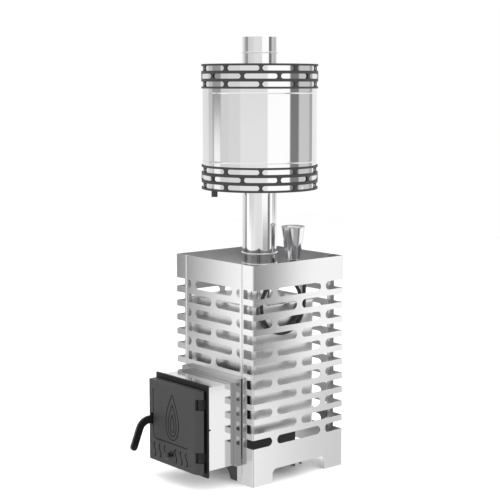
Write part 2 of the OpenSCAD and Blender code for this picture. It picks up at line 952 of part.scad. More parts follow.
module hinge_lug(z) {
  low = z + lug_gap;
  high = z + notch_h - lug_gap;
  difference() {
    union() {
      block([hinge_x - lug_r, hinge_y, low], [hinge_x + lug_r, frame_front, high]);
      bar_z(hinge_x, hinge_y, low, high, lug_r);
    }
    bar_z(hinge_x, hinge_y, low - over, high + over, pin_r);
  }
}

module frame_plate() {
  half = frame_w / 2;
  difference() {
    block([-half, frame_front, frame_z], [half, frame_back, frame_z + frame_h]);
    ring_block(0, frame_front - over, frame_back + over);
    block([-opening_w / 2, frame_front - over, channel_floor],
      [opening_w / 2, frame_back + over, ash_opening_top]);
    difference() {
      ring_block(groove_gap + groove_w, frame_front - over, frame_front + groove_d);
      ring_block(groove_gap, frame_front - over, frame_front + groove_d);
    }
    block([-lever_x - lever_slot_w / 2, frame_front - over, lever_z - keeper_low],
      [-lever_x + lever_slot_w / 2, frame_back + over, lever_z + keeper_high + keeper_h]);
  }
}

// cheeks that reach into the fire channel and take its screws
module frame_cheeks() {
  difference() {
    for (side = [0, 1]) mirror([side, 0, 0]) {
      block([opening_w / 2, frame_back, channel_floor + cheek_inset],
        [opening_w / 2 + cheek_t, frame_back + cheek_l, opening_top - cheek_inset]);
    }
    frame_screw_bores();
  }
}

// lug inside the jacket that takes its screw
module jacket_lug(side, z) {
  y = frame_back + jacket_screw_y;
  x = jacket_w / 2 - jacket_t;
  mirror([(1 - side) / 2, 0, 0]) difference() {
    block([x - jacket_lug_w, frame_back, z - jacket_lug_h / 2],
      [x, frame_back + jacket_lug_l, z + jacket_lug_h / 2]);
    bar_x(x - jacket_lug_w - over, x + over, y, z, jacket_screw_r);
  }
}

module door_frame() {
  color("#1c1c1c") placed() {
    frame_plate();
    for (z = [notch_low, notch_high]) hinge_lug(z);
    frame_cheeks();
    for (place = jacket_screw_places) jacket_lug(place[0], place[1]);
  }
}

// hard block in the top of the frame's latch slot, behind which the nose catches
module latch_keeper() {
  z = lever_z + keeper_high;
  color("gray") placed() {
    block([-lever_x - lever_slot_w / 2, frame_front, z],
      [-lever_x + lever_slot_w / 2, frame_back, z + keeper_h]);
  }
}

frame_screw_z = [channel_floor + frame_screw_inset, opening_top - frame_screw_inset];

module frame_screw_bores() {
  for (side = [0, 1], z = frame_screw_z) mirror([side, 0, 0]) {
    bar_x(opening_w / 2 - over, channel_w / 2 + over, frame_back + frame_screw_y, z, frame_screw_r);
  }
}

module frame_screws() {
  color("#404040") placed() for (side = [0, 1], z = frame_screw_z) mirror([side, 0, 0]) {
    y = frame_back + frame_screw_y;
    bar_x(opening_w / 2, channel_w / 2 + frame_screw_head_t, y, z, frame_screw_r);
    bar_x(channel_w / 2, channel_w / 2 + frame_screw_head_t, y, z, frame_screw_head_r);
  }
}

module door_seal() {
  color("gray") placed() difference() {
    ring_block(groove_gap + groove_w, frame_front - seal_proud, frame_front + groove_d);
    ring_block(groove_gap, frame_front - seal_proud - over, frame_front + groove_d + over);
  }
}

module hinge_pins() {
  color("gray") placed() {
    bar_z(hinge_x, hinge_y, pin_low_z, pin_low_end, pin_r);
    bar_z(hinge_x, hinge_y, pin_high_z, pin_high_end, pin_r);
  }
}

// door

// plan of the door: a flat face that rounds into the hinge barrel at its right edge
module door_plan() {
  reach = hinge_x + door_d;
  arc_y = door_front + door_edge_r;
  difference() {
    translate([-door_left, door_front]) square([door_left + reach, door_d]);
    difference() {
      translate([door_flat_x, door_front - over]) square([reach, door_d + 2 * over]);
      translate([door_flat_x, arc_y]) circle(r = door_edge_r, $fn = 96);
    }
    difference() {
      translate([hinge_x, hinge_y]) square([reach, door_d]);
      translate([hinge_x, hinge_y]) circle(r = door_back - hinge_y, $fn = 96);
    }
  }
}

function wave(s) = vent_wave * sin(360 * s);

module vent_shape() {
  side_a = [for (i = [0 : vent_steps]) [wave(i / vent_steps) - vent_w / 2, i * vent_h / vent_steps]];
  side_b = [for (i = [vent_steps : -1 : 0]) [wave(i / vent_steps) + vent_w / 2, i * vent_h / vent_steps]];
  polygon(concat(side_a, side_b));
}

module vents(y0, y1) {
  for (share = vent_side_share) {
    translate([vent_mid + share * vent_pitch, y1, vent_z]) rotate([90, 0, 0]) {
      linear_extrude(y1 - y0) vent_shape();
    }
  }
}

module door() {
  notch_x = hinge_x - notch_side;
  far = hinge_x + door_d;
  slot_r = stem_r + stem_gap;
  back = door_back + over;
  color("#4a4a4a") placed() difference() {
    translate([0, 0, door_z]) linear_extrude(door_h) door_plan();
    block([-rib_x, door_inner, rib_low + groove_w], [rib_x, back, pocket_top]);
    block([-pocket_side, door_inner, pocket_low], [rib_x, back, rib_low]);
    block([-pocket_side, door_inner, pocket_low], [-rib_side, back, pocket_top]);
    vents(door_front - over, door_inner + over);
    block([vent_mid, door_front - over, knob_z - slot_r],
      [vent_mid + shutter_travel, door_inner + over, knob_z + slot_r]);
    for (x = [vent_mid, vent_mid + shutter_travel]) {
      bar_y(x, door_front - over, door_inner + over, knob_z, slot_r);
    }
    block([-lever_x - lever_slot_w / 2, door_front - over, lever_z - lever_slot_low],
      [-lever_x + lever_slot_w / 2, door_inner + over, lever_z + lever_slot_high]);
    for (z = [notch_low, notch_high]) {
      block([notch_x, door_front - over, z], [far, back, z + notch_h]);
    }
    bar_z(hinge_x, hinge_y, door_z - over, pin_low_end + over, pin_r + run_gap);
    bar_z(hinge_x, hinge_y, pin_high_z - over, door_z + door_h + over, pin_r + run_gap);
    latch_pin_rod(0);
  }
}

module inner_shield() {
  y = door_inner + shield_stand;
  color("silver") placed() {
    block([-shield_w / 2, y, shield_low], [shield_w / 2, y + shield_t, shield_low + shield_h]);
  }
}

module shield_spacers() {
  x = shield_w / 2 - spacer_inset;
  color("gray") placed() {
    for (sx = [-x, x], z = [shield_low + spacer_inset, shield_low + shield_h - spacer_inset]) {
      bar_y(sx, door_inner, door_inner + shield_stand, z, spacer_r);
    }
  }
}

shutter_x = vent_mid - shutter_l / 2;
shutter_z = pocket_low + shutter_gap;
shutter_front = door_inner + shutter_gap;
shutter_back = shutter_front + shutter_t;

module shutter_guides() {
  x0 = shutter_x - guide_end;
  x1 = shutter_x + shutter_l + shutter_travel + guide_end;
  lip_front = shutter_back + shutter_gap;
  lip_back = lip_front + guide_t;
  top = shutter_z + shutter_h;
  color("gray") placed() {
    block([x0, lip_front, pocket_low], [x1, lip_back, pocket_low + guide_lip]);
    block([x0, door_inner, top + shutter_gap], [x1, lip_back, top + shutter_gap + guide_lip]);
    block([x0, lip_front, top - guide_lip], [x1, lip_back, top + shutter_gap]);
  }
}

module air_shutter() {
  color("dimgray") placed() difference() {
    block([shutter_x, shutter_front, shutter_z],
      [shutter_x + shutter_l, shutter_back, shutter_z + shutter_h]);
    vents(shutter_front - over, shutter_back + over);
  }
}

module air_knob() {
  base = door_front - knob_stand;
  color("#151515") placed() {
    bar_y(vent_mid, base, shutter_front, knob_z, stem_r);
    translate([vent_mid, base, knob_z]) rotate([90, 0, 0]) rotate_extrude() {
      polygon([[0, 0], [knob_base_r, 0], [knob_neck_r, knob_l * knob_neck_share],
        [knob_head_r, knob_l * knob_head_share], [knob_neck_r, knob_l], [0, knob_l]]);
    }
  }
}

// latch

// rod through the rim, the lever and the rib, with a gap all round
module latch_pin_rod(gap) {
  bar_x(-pocket_side - latch_pin_bite, -rib_side + latch_pin_bite, lever_y, lever_z, lever_pin_r + gap);
}

module latch_pin() {
  color("gray") placed() latch_pin_rod(0);
}

// arm behind the pin, with a nose that rises behind the frame
module arm_plan() {
  translate([-lever_arm_l, -lever_arm_h / 2]) square([lever_arm_l + lever_boss_r, lever_arm_h]);
  translate([-lever_arm_l, -lever_arm_h / 2]) square([nose_l, lever_arm_h / 2 + nose_h]);
}

// turns what is drawn about the pin so that its x looks to the front and its y up
module lever_turn() {
  translate([-lever_x, lever_y, lever_z]) rotate([90, 0, -90]) children();
}

module latch_lever() {
  color("#151515") placed() difference() {
    union() {
      lever_turn() linear_extrude(grip_t, center = true) polygon(grip_outline);
      lever_turn() linear_extrude(lever_t, center = true) arm_plan();
      bar_x(-pocket_side + fit_gap, -rib_side - fit_gap, lever_y, lever_z, lever_boss_r);
    }
    latch_pin_rod(run_gap);
  }
}

// flue

module firebox_outlet() {
  color("gainsboro") placed() tube_z(outlet_low, joint_z, flue_r, flue_wall);
}

// ring of round section about the flue axis
module bead(z, r, bead) {
  rotate_extrude() translate([r, z]) circle(r = bead, $fn = 24);
}

module flue_collar() {
  inner = flue_r + fit_gap / 2;
  outer = inner + collar_wall;
  high = collar_low + collar_h;
  color("silver") placed() difference() {
    union() {
      bar_z(0, 0, collar_low, high, outer);
      bead(collar_low + bead_r, outer, bead_r);
      bead(high - bead_r, outer, bead_r);
    }
    bar_z(0, 0, collar_low - over, high + over, inner);
  }
}

module tank_pipe() {
  color("gainsboro") placed() tube_z(joint_z, upper_z, flue_r, flue_wall);
}

module upper_pipe() {
  sleeve_r = flue_r - flue_wall - sleeve_gap;
  color("gainsboro") placed() difference() {
    union() {
      bar_z(0, 0, upper_z - sleeve_l, upper_z, sleeve_r);
      bar_z(0, 0, upper_z, flue_top, flue_r);
      bead(upper_z + upper_bead_r, flue_r, upper_bead_r);
    }
    bar_z(0, 0, upper_z - sleeve_l - over, flue_top + over, sleeve_r - flue_wall);
  }
}

// tank

module tank_body() {
  low = tank_z + tank_inset;
  high = tank_z + tank_h - tank_inset;
  bead_low = tank_z + band_h + tank_bead_gap;
  bead_high = tank_z + tank_h - band_h - tank_bead_gap;
  color("gainsboro") placed() difference() {
    union() {
      bar_z(0, 0, low, high, tank_r);
      for (z = [bead_low, bead_high]) bead(z, tank_r - tank_wall, tank_bead_r);
    }
    bar_z(0, 0, low - over, high + over, tank_r - tank_wall);
  }
}

module tank_disc(z) {
  difference() {
    bar_z(0, 0, z, z + disc_t, tank_r - tank_wall - disc_gap);
    bar_z(0, 0, z - over, z + disc_t + over, flue_r + disc_gap);
  }
}

module tank_bottom() {
  color("silver") placed() difference() {
    tank_disc(bottom_disc_z);
    bar_z(outlet_x, outlet_y, bottom_disc_z - over, bottom_disc_z + disc_t + over, outlet_r + disc_gap);
  }
}

module tank_top() {
  z = top_disc_z + disc_t;
  half = lid_barrel_w / 2 + fit_gap;
  color("silver") placed() difference() {
    union() {
      tank_disc(top_disc_z);
      bar_z(0, hatch_y, top_disc_z, z + neck_h, hatch_r + neck_t);
      for (side = [0, 1]) mirror([side, 0, 0]) {
        block([half, lid_hinge_y - lid_barrel_r, z],
          [half + lid_ear_w, lid_hinge_y + lid_barrel_r, lid_hinge_z]);
        bar_x(half, half + lid_ear_w, lid_hinge_y, lid_hinge_z, lid_barrel_r);
      }
    }
    bar_z(0, hatch_y, top_disc_z - over, z + neck_h + over, hatch_r);
    bar_x(-half - lid_ear_w - over, half + lid_ear_w + over, lid_hinge_y, lid_hinge_z, lid_pin_r);
  }
}

// cutter for one slot of a band, centred on the X axis, with round ends
module band_cut() {
  half_turn = 180 / band_posts - asin((band_post_w / 2 + band_slot_h / 2) / band_r);
  depth = band_t + 2 * over;
  rotate([0, 0, -half_turn]) rotate_extrude(angle = 2 * half_turn) {
    translate([band_r - band_t - over, -band_slot_h / 2]) square([depth, band_slot_h]);
  }
  for (turn = [-half_turn, half_turn]) rotate([0, 0, turn]) {
    translate([band_r - band_t - over, 0, 0]) rotate([0, 90, 0]) cylinder(h = depth, d = band_slot_h);
  }
}

module tank_band(z) {
  difference() {
    tube_z(z, z + band_h, band_r, band_t);
    for (row = [0 : band_rows - 1], i = [0 : band_posts - 1]) {
      turn = band_turn + (i + (row % 2 == 0 ? 1 : 0) / 2) * 360 / band_posts;
      height = z + band_h / 2 + (row - (band_rows - 1) / 2) * band_pitch;
      translate([0, 0, height]) rotate([0, 0, turn]) band_cut();
    }
  }
}

module tank_band_bottom() {
  color("#4a4a4a") placed() tank_band(tank_z);
}

module tank_band_top() {
  color("#4a4a4a") placed() tank_band(tank_z + tank_h - band_h);
}

// pads that hold the bands off the tank, behind the bars between the slot rows
module band_spacers() {
  color("gray") placed() intersection() {
    tube_z(tank_z, tank_z + tank_h, band_r - band_t, band_stand);
    for (z = [tank_z, tank_z + tank_h - band_h], row = [-1, 1], i = [0 : spacers - 1]) {
      height = z + band_h / 2 + row * band_pitch / 2;
      translate([0, 0, height]) rotate([0, 0, band_turn + i * 360 / spacers]) rotate([0, 90, 0]) {
        cylinder(h = band_r + over, r = spacer_pad_r);
      }
    }
  }
}

module outlet_nipple() {
  stub_top = bottom_disc_z + disc_t + outlet_stub;
  color("silver") placed() difference() {
    union() {
      bar_z(outlet_x, outlet_y, tank_z - outlet_l, stub_top, outlet_r);
      bar_z(outlet_x, outlet_y, bottom_disc_z - outlet_flange_t, bottom_disc_z, outlet_flange_r);
    }
    bar_z(outlet_x, outlet_y, tank_z - outlet_l - over, stub_top + over, outlet_bore_r);
  }
}

module outlet_nut() {
  z = bottom_disc_z + disc_t;
  color("darkgoldenrod") placed() difference() {
    translate([outlet_x, outlet_y, z]) cylinder(h = outlet_nut_t, r = outlet_nut_r, $fn = 6);
    bar_z(outlet_x, outlet_y, z - over, z + outlet_nut_t + over, outlet_r);
  }
}

module filler_lid() {
  r = hatch_r + neck_t + lid_over;
  half = lid_barrel_w / 2;
  color("gainsboro") placed() difference() {
    union() {
      bar_z(0, hatch_y, lid_z, lid_z + lid_t, r);
      bar_z(0, hatch_y, lid_z + lid_t, lid_z + lid_t + lid_knob_h, lid_knob_r);
      block([-half, hatch_y + hatch_r, lid_z], [half, lid_hinge_y, lid_z + lid_t]);
      bar_x(-half, half, lid_hinge_y, lid_hinge_z, lid_barrel_r);
    }
    bar_x(-half - over, half + over, lid_hinge_y, lid_hinge_z, lid_pin_r + run_gap);
  }
}

module lid_pin() {
  half = lid_barrel_w / 2 + fit_gap + lid_ear_w;
  color("gray") placed() bar_x(-half, half, lid_hinge_y, lid_hinge_z, lid_pin_r);
}

// steam funnel

module steam_funnel() {
  top = cup_h - cup_rim_r;
  w = cup_wall;
  color("whitesmoke") placed() translate([funnel_x, funnel_y, cup_z]) {
    rotate_extrude() {
      polygon([[nozzle_r - w, 0], [cup_foot_r, 0], [cup_mouth_r, top], [cup_mouth_r - w, top],
        [cup_foot_r - w, w], [nozzle_r - w, w]]);
      translate([cup_mouth_r, top]) circle(r = cup_rim_r, $fn = 24);
      translate([nozzle_r - w, -nozzle_l]) square([w, nozzle_l]);
    }
  }
}

side_panel_right();
side_panel_left();
front_grille();
rear_grille();
seam_bolts();
cross_rail();
stand_front();
stand_rear();
stand_strips();
ash_box();
firebox_body();
firebox_top();
liner_left();
liner_right();
grate();
flame_deflector();
steam_box();
steam_tube();
fire_channel();
channel_shelf();
ash_pan();
tunnel_jacket();
tunnel_collar();
jacket_screws();
door_frame();
frame_screws();
door_seal();
hinge_pins();
door();
inner_shield();
shield_spacers();
shutter_guides();
latch_pin();
air_shutter();
air_knob();
latch_lever();
latch_keeper();
firebox_outlet();
flue_collar();
tank_pipe();
upper_pipe();
tank_body();
tank_bottom();
tank_top();
tank_band_bottom();
tank_band_top();
band_spacers();
outlet_nipple();
outlet_nut();
filler_lid();
lid_pin();
steam_funnel();
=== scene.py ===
import json
import math

import bmesh
import bpy
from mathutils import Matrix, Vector
from mathutils.geometry import delaunay_2d_cdt

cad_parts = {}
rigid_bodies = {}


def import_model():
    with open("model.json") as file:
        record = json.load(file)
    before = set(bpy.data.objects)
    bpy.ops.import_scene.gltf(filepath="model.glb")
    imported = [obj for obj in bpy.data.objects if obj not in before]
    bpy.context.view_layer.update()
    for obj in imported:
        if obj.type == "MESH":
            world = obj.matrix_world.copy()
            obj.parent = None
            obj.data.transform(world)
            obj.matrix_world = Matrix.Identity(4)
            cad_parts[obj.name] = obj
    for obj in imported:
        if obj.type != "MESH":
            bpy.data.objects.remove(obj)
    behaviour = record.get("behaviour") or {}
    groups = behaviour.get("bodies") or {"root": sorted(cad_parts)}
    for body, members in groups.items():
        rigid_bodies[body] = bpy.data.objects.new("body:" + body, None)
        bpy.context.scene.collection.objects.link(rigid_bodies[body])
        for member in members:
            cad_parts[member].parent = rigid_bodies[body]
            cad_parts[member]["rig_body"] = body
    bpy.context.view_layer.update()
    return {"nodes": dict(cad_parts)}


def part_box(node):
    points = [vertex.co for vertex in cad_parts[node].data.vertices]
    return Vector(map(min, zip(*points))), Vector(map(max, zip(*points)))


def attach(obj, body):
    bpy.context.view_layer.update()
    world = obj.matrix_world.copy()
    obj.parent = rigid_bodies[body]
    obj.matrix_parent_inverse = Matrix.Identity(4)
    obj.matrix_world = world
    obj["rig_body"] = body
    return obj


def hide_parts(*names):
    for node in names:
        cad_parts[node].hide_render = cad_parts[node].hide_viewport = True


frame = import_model()

# Camera
# A long lens at the photograph's viewing angle: from the front right, a little above the casing's rim.
azimuth = math.radians(49.595)
pitch = math.radians(6.618)
camera = bpy.data.objects.new("camera", bpy.data.cameras.new("camera"))
bpy.context.scene.collection.objects.link(camera)
bpy.context.scene.camera = camera
camera.data.lens = 91.96
camera.data.shift_y = -0.04
camera.location = (3.2267, -2.6635, 1.2978)
camera_level = Vector((math.sin(azimuth), -math.cos(azimuth), 0))
camera_back = camera_level * math.cos(pitch) + Vector((0, 0, math.sin(pitch)))
camera.rotation_mode = "QUATERNION"
camera.rotation_quaternion = camera_back.to_track_quat("Z", "Y")
bpy.context.scene.view_settings.view_transform = "Standard"


# Studio
# A pale floor in a bright room with three soft lamps. Tall white and grey panels stand round the room, and
# polished steel mirrors them as upright stripes. Two lit cards stand where the casing's faces mirror them.


class Field:
    """A socket of a node tree. Python's operators on fields add the Math nodes between them."""

    def __init__(self, tree, socket=None):
        self.tree, self.socket = tree, socket

    def node(self, kind, settings=None, values=None, output=0):
        made = self.tree.nodes.new(kind)
        for key, value in (settings or {}).items():
            if key == "stops":
                elements = made.color_ramp.elements
                while len(elements) > 1:
                    elements.remove(elements[-1])
                for i, (position, shade) in enumerate(value):
                    element = elements[0] if i == 0 else elements.new(position)
                    element.position = position
                    element.color = (shade, shade, shade, 1)
            else:
                setattr(made, key, value)
        for key, value in (values or {}).items():
            if isinstance(value, Field):
                self.tree.links.new(value.socket, made.inputs[key])
            else:
                made.inputs[key].default_value = value
        return Field(self.tree, made.outputs[output])

    def maths(self, operation, first, second=0.0):
        return self.node("ShaderNodeMath", {"operation": operation}, {0: first, 1: second})

    def into(self, target, socket):
        self.tree.links.new(self.socket, target.inputs[socket])

    def __add__(self, other):
        return self.maths("ADD", self, other)

    def __sub__(self, other):
        return self.maths("SUBTRACT", self, other)

    def __rsub__(self, other):
        return self.maths("SUBTRACT", other, self)

    def __mul__(self, other):
        return self.maths("MULTIPLY", self, other)

    __radd__ = __add__
    __rmul__ = __mul__


room = bpy.data.worlds.new("room")
bpy.context.scene.world = room
room.use_nodes = True
room.node_tree.nodes.clear()
air = Field(room.node_tree)
direction = air.node("ShaderNodeTexCoord")
parts = air.node("ShaderNodeSeparateXYZ", None, {0: direction})
side_x, side_y, height = (Field(room.node_tree, parts.socket.node.outputs[i]) for i in range(3))
turn = air.maths("ARCTAN2", side_y, side_x) * (0.5 / math.pi) + 0.5


def round_room(turn, panels):
    """Brightness round the room from pairs of start angle in degrees and brightness, shortly blended."""
    blend = 0.004
    stops = []
    for angle, shade in panels:
        start = (angle + 180) / 360
        if stops:
            stops.append((max(start - blend, 0.0), stops[-1][1]))
        stops.append((min(start + blend, 1.0), shade))
    return air.node("ShaderNodeValToRGB", {"stops": stops}, {0: turn})


def blended(height, low, high, below, above):
    """Passes from one field to the other between two heights."""
    share = air.node("ShaderNodeMapRange", {"interpolation_type": "SMOOTHSTEP"}, {0: height, 1: low, 2: high})
    return air.node("ShaderNodeMix", {"data_type": "RGBA"}, {0: share, 6: below, 7: above}, 2)


top_row = round_room(turn, [(-180, 0.78), (-165, 0.55), (-150, 0.32), (-125, 0.68), (-105, 0.72),
                            (-80, 0.8), (-25, 1.1), (22, 0.2), (44, 0.6), (78, 0.4), (90, 0.9), (150, 0.8)])
middle_row = round_room(turn, [(-180, 0.84), (-165, 0.7), (-150, 0.5), (-145, 1.0), (-127, 0.7),
                               (-105, 0.74), (-80, 0.84), (-25, 1.1), (22, 0.22), (44, 0.62), (78, 0.42),
                               (90, 0.9), (150, 0.84)])
sheared = turn - (height + 0.13) * 0.2
bottom_row = round_room(sheared, [(-180, 0.75), (-158, 0.4), (-141.5, 1.15), (-100, 0.9), (-70, 0.8),
                                  (-20, 0.45), (42, 1.2), (95, 0.95), (150, 0.8)])
walls = blended(height, -0.125, -0.095, bottom_row, blended(height, -0.06, 0.0, middle_row, top_row))
pale = (1.0, 1.0, 1.0, 1)
seen = blended(height, 0.35, 0.75, blended(height, -0.6, -0.4, (0.9, 0.9, 0.9, 1), walls), pale)
behind = air.node("ShaderNodeLightPath", None, None, 0)
backdrop = air.node("ShaderNodeMix", {"data_type": "RGBA"}, {0: behind, 6: seen, 7: pale}, 2)
light = air.node("ShaderNodeBackground", None, {0: backdrop, 1: 1.0})
light.into(room.node_tree.nodes.new("ShaderNodeOutputWorld"), 0)

floor_half = 6.0
floor_mesh = bpy.data.meshes.new("floor")
floor_corners = [(-floor_half, -floor_half, 0), (floor_half, -floor_half, 0), (floor_half, floor_half, 0),
                 (-floor_half, floor_half, 0)]
floor_mesh.from_pydata(floor_corners, [], [(0, 1, 2, 3)])
floor = bpy.data.objects.new("floor", floor_mesh)
bpy.context.scene.collection.objects.link(floor)
floor.visible_glossy = False


def new_finish(name, colour, metallic, roughness, **fixed):
    """A material with a Principled shader; returns it, its shader and the field of places on the object."""
    material = bpy.data.materials.new(name)
    material.use_nodes = True
    tree = material.node_tree
    shader = tree.nodes["Principled BSDF"]
    shader.inputs["Base Color"].default_value = (*colour, 1)
    shader.inputs["Metallic"].default_value = metallic
    shader.inputs["Roughness"].default_value = roughness
    for socket, value in fixed.items():
        shader.inputs[socket.replace("_", " ")].default_value = value
    material.diffuse_color = (*colour, 1)
    return material, shader, Field(tree).node("ShaderNodeTexCoord", None, None, 3)


floor_finish = new_finish("floor_paint", (0.95, 0.95, 0.95), 0, 0.9, Emission_Color=(1, 1, 1, 1),
                          Emission_Strength=0.08)
floor_mesh.materials.append(floor_finish[0])
card_power = 1.2



def mirror_card(name, low, high, sideways, start, length, split, high_stops, low_stops):
    """An upright lit card that only glossy surfaces show. Its brightness runs along one axis, from the start
    over the length, by one list of stops above the split heights and by another one below them."""
    paint, shader, place = new_finish(name + "_paint", (0, 0, 0), 0, 1, Specular_IOR_Level=0,
                                      Emission_Strength=card_power)
    parts = place.node("ShaderNodeSeparateXYZ", None, {0: place}).socket.node.outputs
    along = (Field(place.tree, parts[sideways]) - start) * (1 / length)
    share = (along + 0.5) * 0.5
    shades = []
    for stops in (low_stops, high_stops):
        ramp = [((run + 0.5) * 0.5, shade / card_power) for run, shade in stops]
        shades.append(place.node("ShaderNodeValToRGB", {"stops": ramp}, {0: share}))
    upper = place.node("ShaderNodeMapRange", {"interpolation_type": "SMOOTHSTEP"},
                       {0: Field(place.tree, parts[2]), 1: split[0], 2: split[1]})
    shade = place.node("ShaderNodeMix", {"data_type": "RGBA"}, {0: upper, 6: shades[0], 7: shades[1]}, 2)
    shade.into(shader, "Emission Color")
    corners = [(*low[:2], low[2]), (*high[:2], low[2]), (*high[:2], high[2]), (*low[:2], high[2])]
    mesh = bpy.data.meshes.new(name)
    mesh.from_pydata(corners, [], [(0, 1, 2, 3)])
    mesh.materials.append(paint)
    card = bpy.data.objects.new(name, mesh)
    bpy.context.scene.collection.objects.link(card)
    card.visible_camera = card.visible_diffuse = card.visible_shadow = card.visible_transmission = False


mirror_card("card_right", (0.93, 0.35, -0.6), (0.93, 1.3, 0.85), 1, 0.575, 0.455, (0.03, 0.23),
            [(-0.4, 0.2), (0, 0.27), (0.18, 0.44), (0.36, 0.82), (0.5, 1.2), (0.8, 1.18), (1.1, 1.08),
             (1.5, 1.05)],
            [(-0.4, 1.1), (0, 1.08), (0.5, 0.84), (1, 0.7), (1.5, 0.7)])
mirror_card("card_front", (-1.25, -0.7, -0.6), (-0.35, -0.7, 0.85), 0, -1.0, 0.44, (0.12, 0.32),
            [(-0.4, 0.2), (0, 0.28), (0.2, 0.4), (0.4, 0.6), (0.6, 0.95), (0.8, 1.18), (1, 1.2), (1.5, 1.2)],
            [(-0.4, 0.6), (0, 0.72), (1, 0.74), (1.5, 0.75)])

softboxes = {"left": ((-2.6, -2.4, 2.6), 2.2, 70), "right": ((3.4, 0.6, 2.8), 2.2, 60),
             "top": ((0.2, 0, 4.2), 3.0, 90)}
lit_point = Vector((0, 0, 0.7))
for name, (place, size, power) in softboxes.items():
    lamp = bpy.data.objects.new("softbox_" + name, bpy.data.lights.new("softbox_" + name, "AREA"))
    lamp.data.size = size
    lamp.data.energy = power
    lamp.location = place
    lamp.rotation_mode = "QUATERNION"
    lamp.rotation_quaternion = (Vector(place) - lit_point).to_track_quat("Z", "Y")
    lamp.visible_glossy = False
    lamp.visible_camera = False
    bpy.context.scene.collection.objects.link(lamp)


# Stands and rail
# Folded and cut plates under the firebox: an arched plate at the front and the rear, two bright angle strips
# beside the front one, and a channel rail from side to side. They are welded to the ash box.

mm = 0.001
weld = 0.00001


def piece(name, bm, finishes, *nodes, sharp=38):
    """A finished piece from a mesh: it rides with the first node's body and stands for all the nodes."""
    bmesh.ops.recalc_face_normals(bm, faces=bm.faces)
    mesh = bpy.data.meshes.new(name)
    bm.to_mesh(mesh)
    bm.free()
    for finish in finishes:
        mesh.materials.append(finish)
    mesh.polygons.foreach_set("use_smooth", [True] * len(mesh.polygons))
    mesh.set_sharp_from_angle(angle=math.radians(sharp))
    made = bpy.data.objects.new(name, mesh)
    bpy.context.scene.collection.objects.link(made)
    made.modifiers.new("flat_faces", "WEIGHTED_NORMAL").keep_sharp = True
    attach(made, frame["nodes"][nodes[0]]["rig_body"])
    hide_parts(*nodes)
    return made


def dressed(node, name, finish, edge, segments=2, sharp=38):
    """The solid of a node with its edges rounded off."""
    bm = bmesh.new()
    bm.from_mesh(frame["nodes"][node].data)
    bmesh.ops.remove_doubles(bm, verts=bm.verts, dist=weld)
    bmesh.ops.dissolve_limit(bm, angle_limit=math.radians(0.4), verts=bm.verts, edges=bm.edges)
    for face in bm.faces:
        face.material_index = 0
    if edge:
        corners = [e for e in bm.edges if e.is_manifold and e.calc_face_angle() > math.radians(sharp)]
        bmesh.ops.bevel(bm, geom=corners, offset=edge, segments=segments, profile=0.5, affect="EDGES",
                        clamp_overlap=True)
    return piece(name, bm, [finish], node, sharp=sharp)


def speckled(name, colour, dark_share, metallic, roughness, grain, depth, **fixed):
    """Paint or scale on iron: clouds of a darker tone, an uneven sheen and a fine grain in relief."""
    material, shader, place = new_finish(name, colour, metallic, roughness, **fixed)
    clouds = place.node("ShaderNodeTexNoise", None, {"Vector": place, "Scale": 14.0, "Detail": 5.0})
    dark = tuple(c * dark_share for c in colour)
    tone = place.node("ShaderNodeMix", {"data_type": "RGBA"}, {0: clouds, 6: (*dark, 1), 7: (*colour, 1)}, 2)
    tone.into(shader, "Base Color")
    (clouds * 0.16 + (roughness - 0.08)).into(shader, "Roughness")
    fine = place.node("ShaderNodeTexNoise", None, {"Vector": place, "Scale": grain, "Detail": 3.0})
    bump = place.node("ShaderNodeBump", None, {"Strength": 0.6, "Distance": depth, "Height": fine})
    bump.into(shader, "Normal")
    return material


def brushed(name, colour, roughness, stretch, depth, smears=0.06):
    """Stainless sheet: fine lines across the stretch's large axes, and faint smears in its sheen."""
    material, shader, place = new_finish(name, colour, 1, roughness)
    long_place = place.node("ShaderNodeVectorMath", {"operation": "MULTIPLY"}, {0: place, 1: stretch})
    lines = place.node("ShaderNodeTexNoise", None, {"Vector": long_place, "Scale": 1.0, "Detail": 3.0})
    smear = place.node("ShaderNodeTexNoise", None, {"Vector": place, "Scale": 7.0, "Detail": 4.0})
    (lines * 0.06 + smear * smears + (roughness - 0.03 - smears / 2)).into(shader, "Roughness")
    pale = tuple(min(c * 1.04, 1.0) for c in colour)
    deep = tuple(c * 0.93 for c in colour)
    tone = place.node("ShaderNodeMix", {"data_type": "RGBA"}, {0: lines, 6: (*deep, 1), 7: (*pale, 1)}, 2)
    tone.into(shader, "Base Color")
    bump = place.node("ShaderNodeBump", None, {"Strength": 0.5, "Distance": depth, "Height": lines})
    bump.into(shader, "Normal")
    return material


stove_black = speckled("stove_black", (0.055, 0.055, 0.055), 0.7, 0.0, 0.55, 900.0, 0.0001)
bright_strip = brushed("bright_strip", (0.78, 0.78, 0.78), 0.16, (900.0, 900.0, 8.0), 0.00002)
cut_edge = 0.4 * mm
hair_edge = 0.2 * mm
dressed("stand_front", "front_stand_plate", stove_black, cut_edge)
dressed("stand_rear", "rear_stand_plate", stove_black, cut_edge)
dressed("stand_strips", "stand_angle_strips", bright_strip, hair_edge)
dressed("cross_rail", "cross_rail_channel", stove_black, cut_edge)


# Firebox
# A welded box of stainless sheet on a black ash box, closed by a rimmed plate. Inside it lie a cast grate,
# two ribbed cast liners, a flame deflector on ledges and the steam box at the right wall.

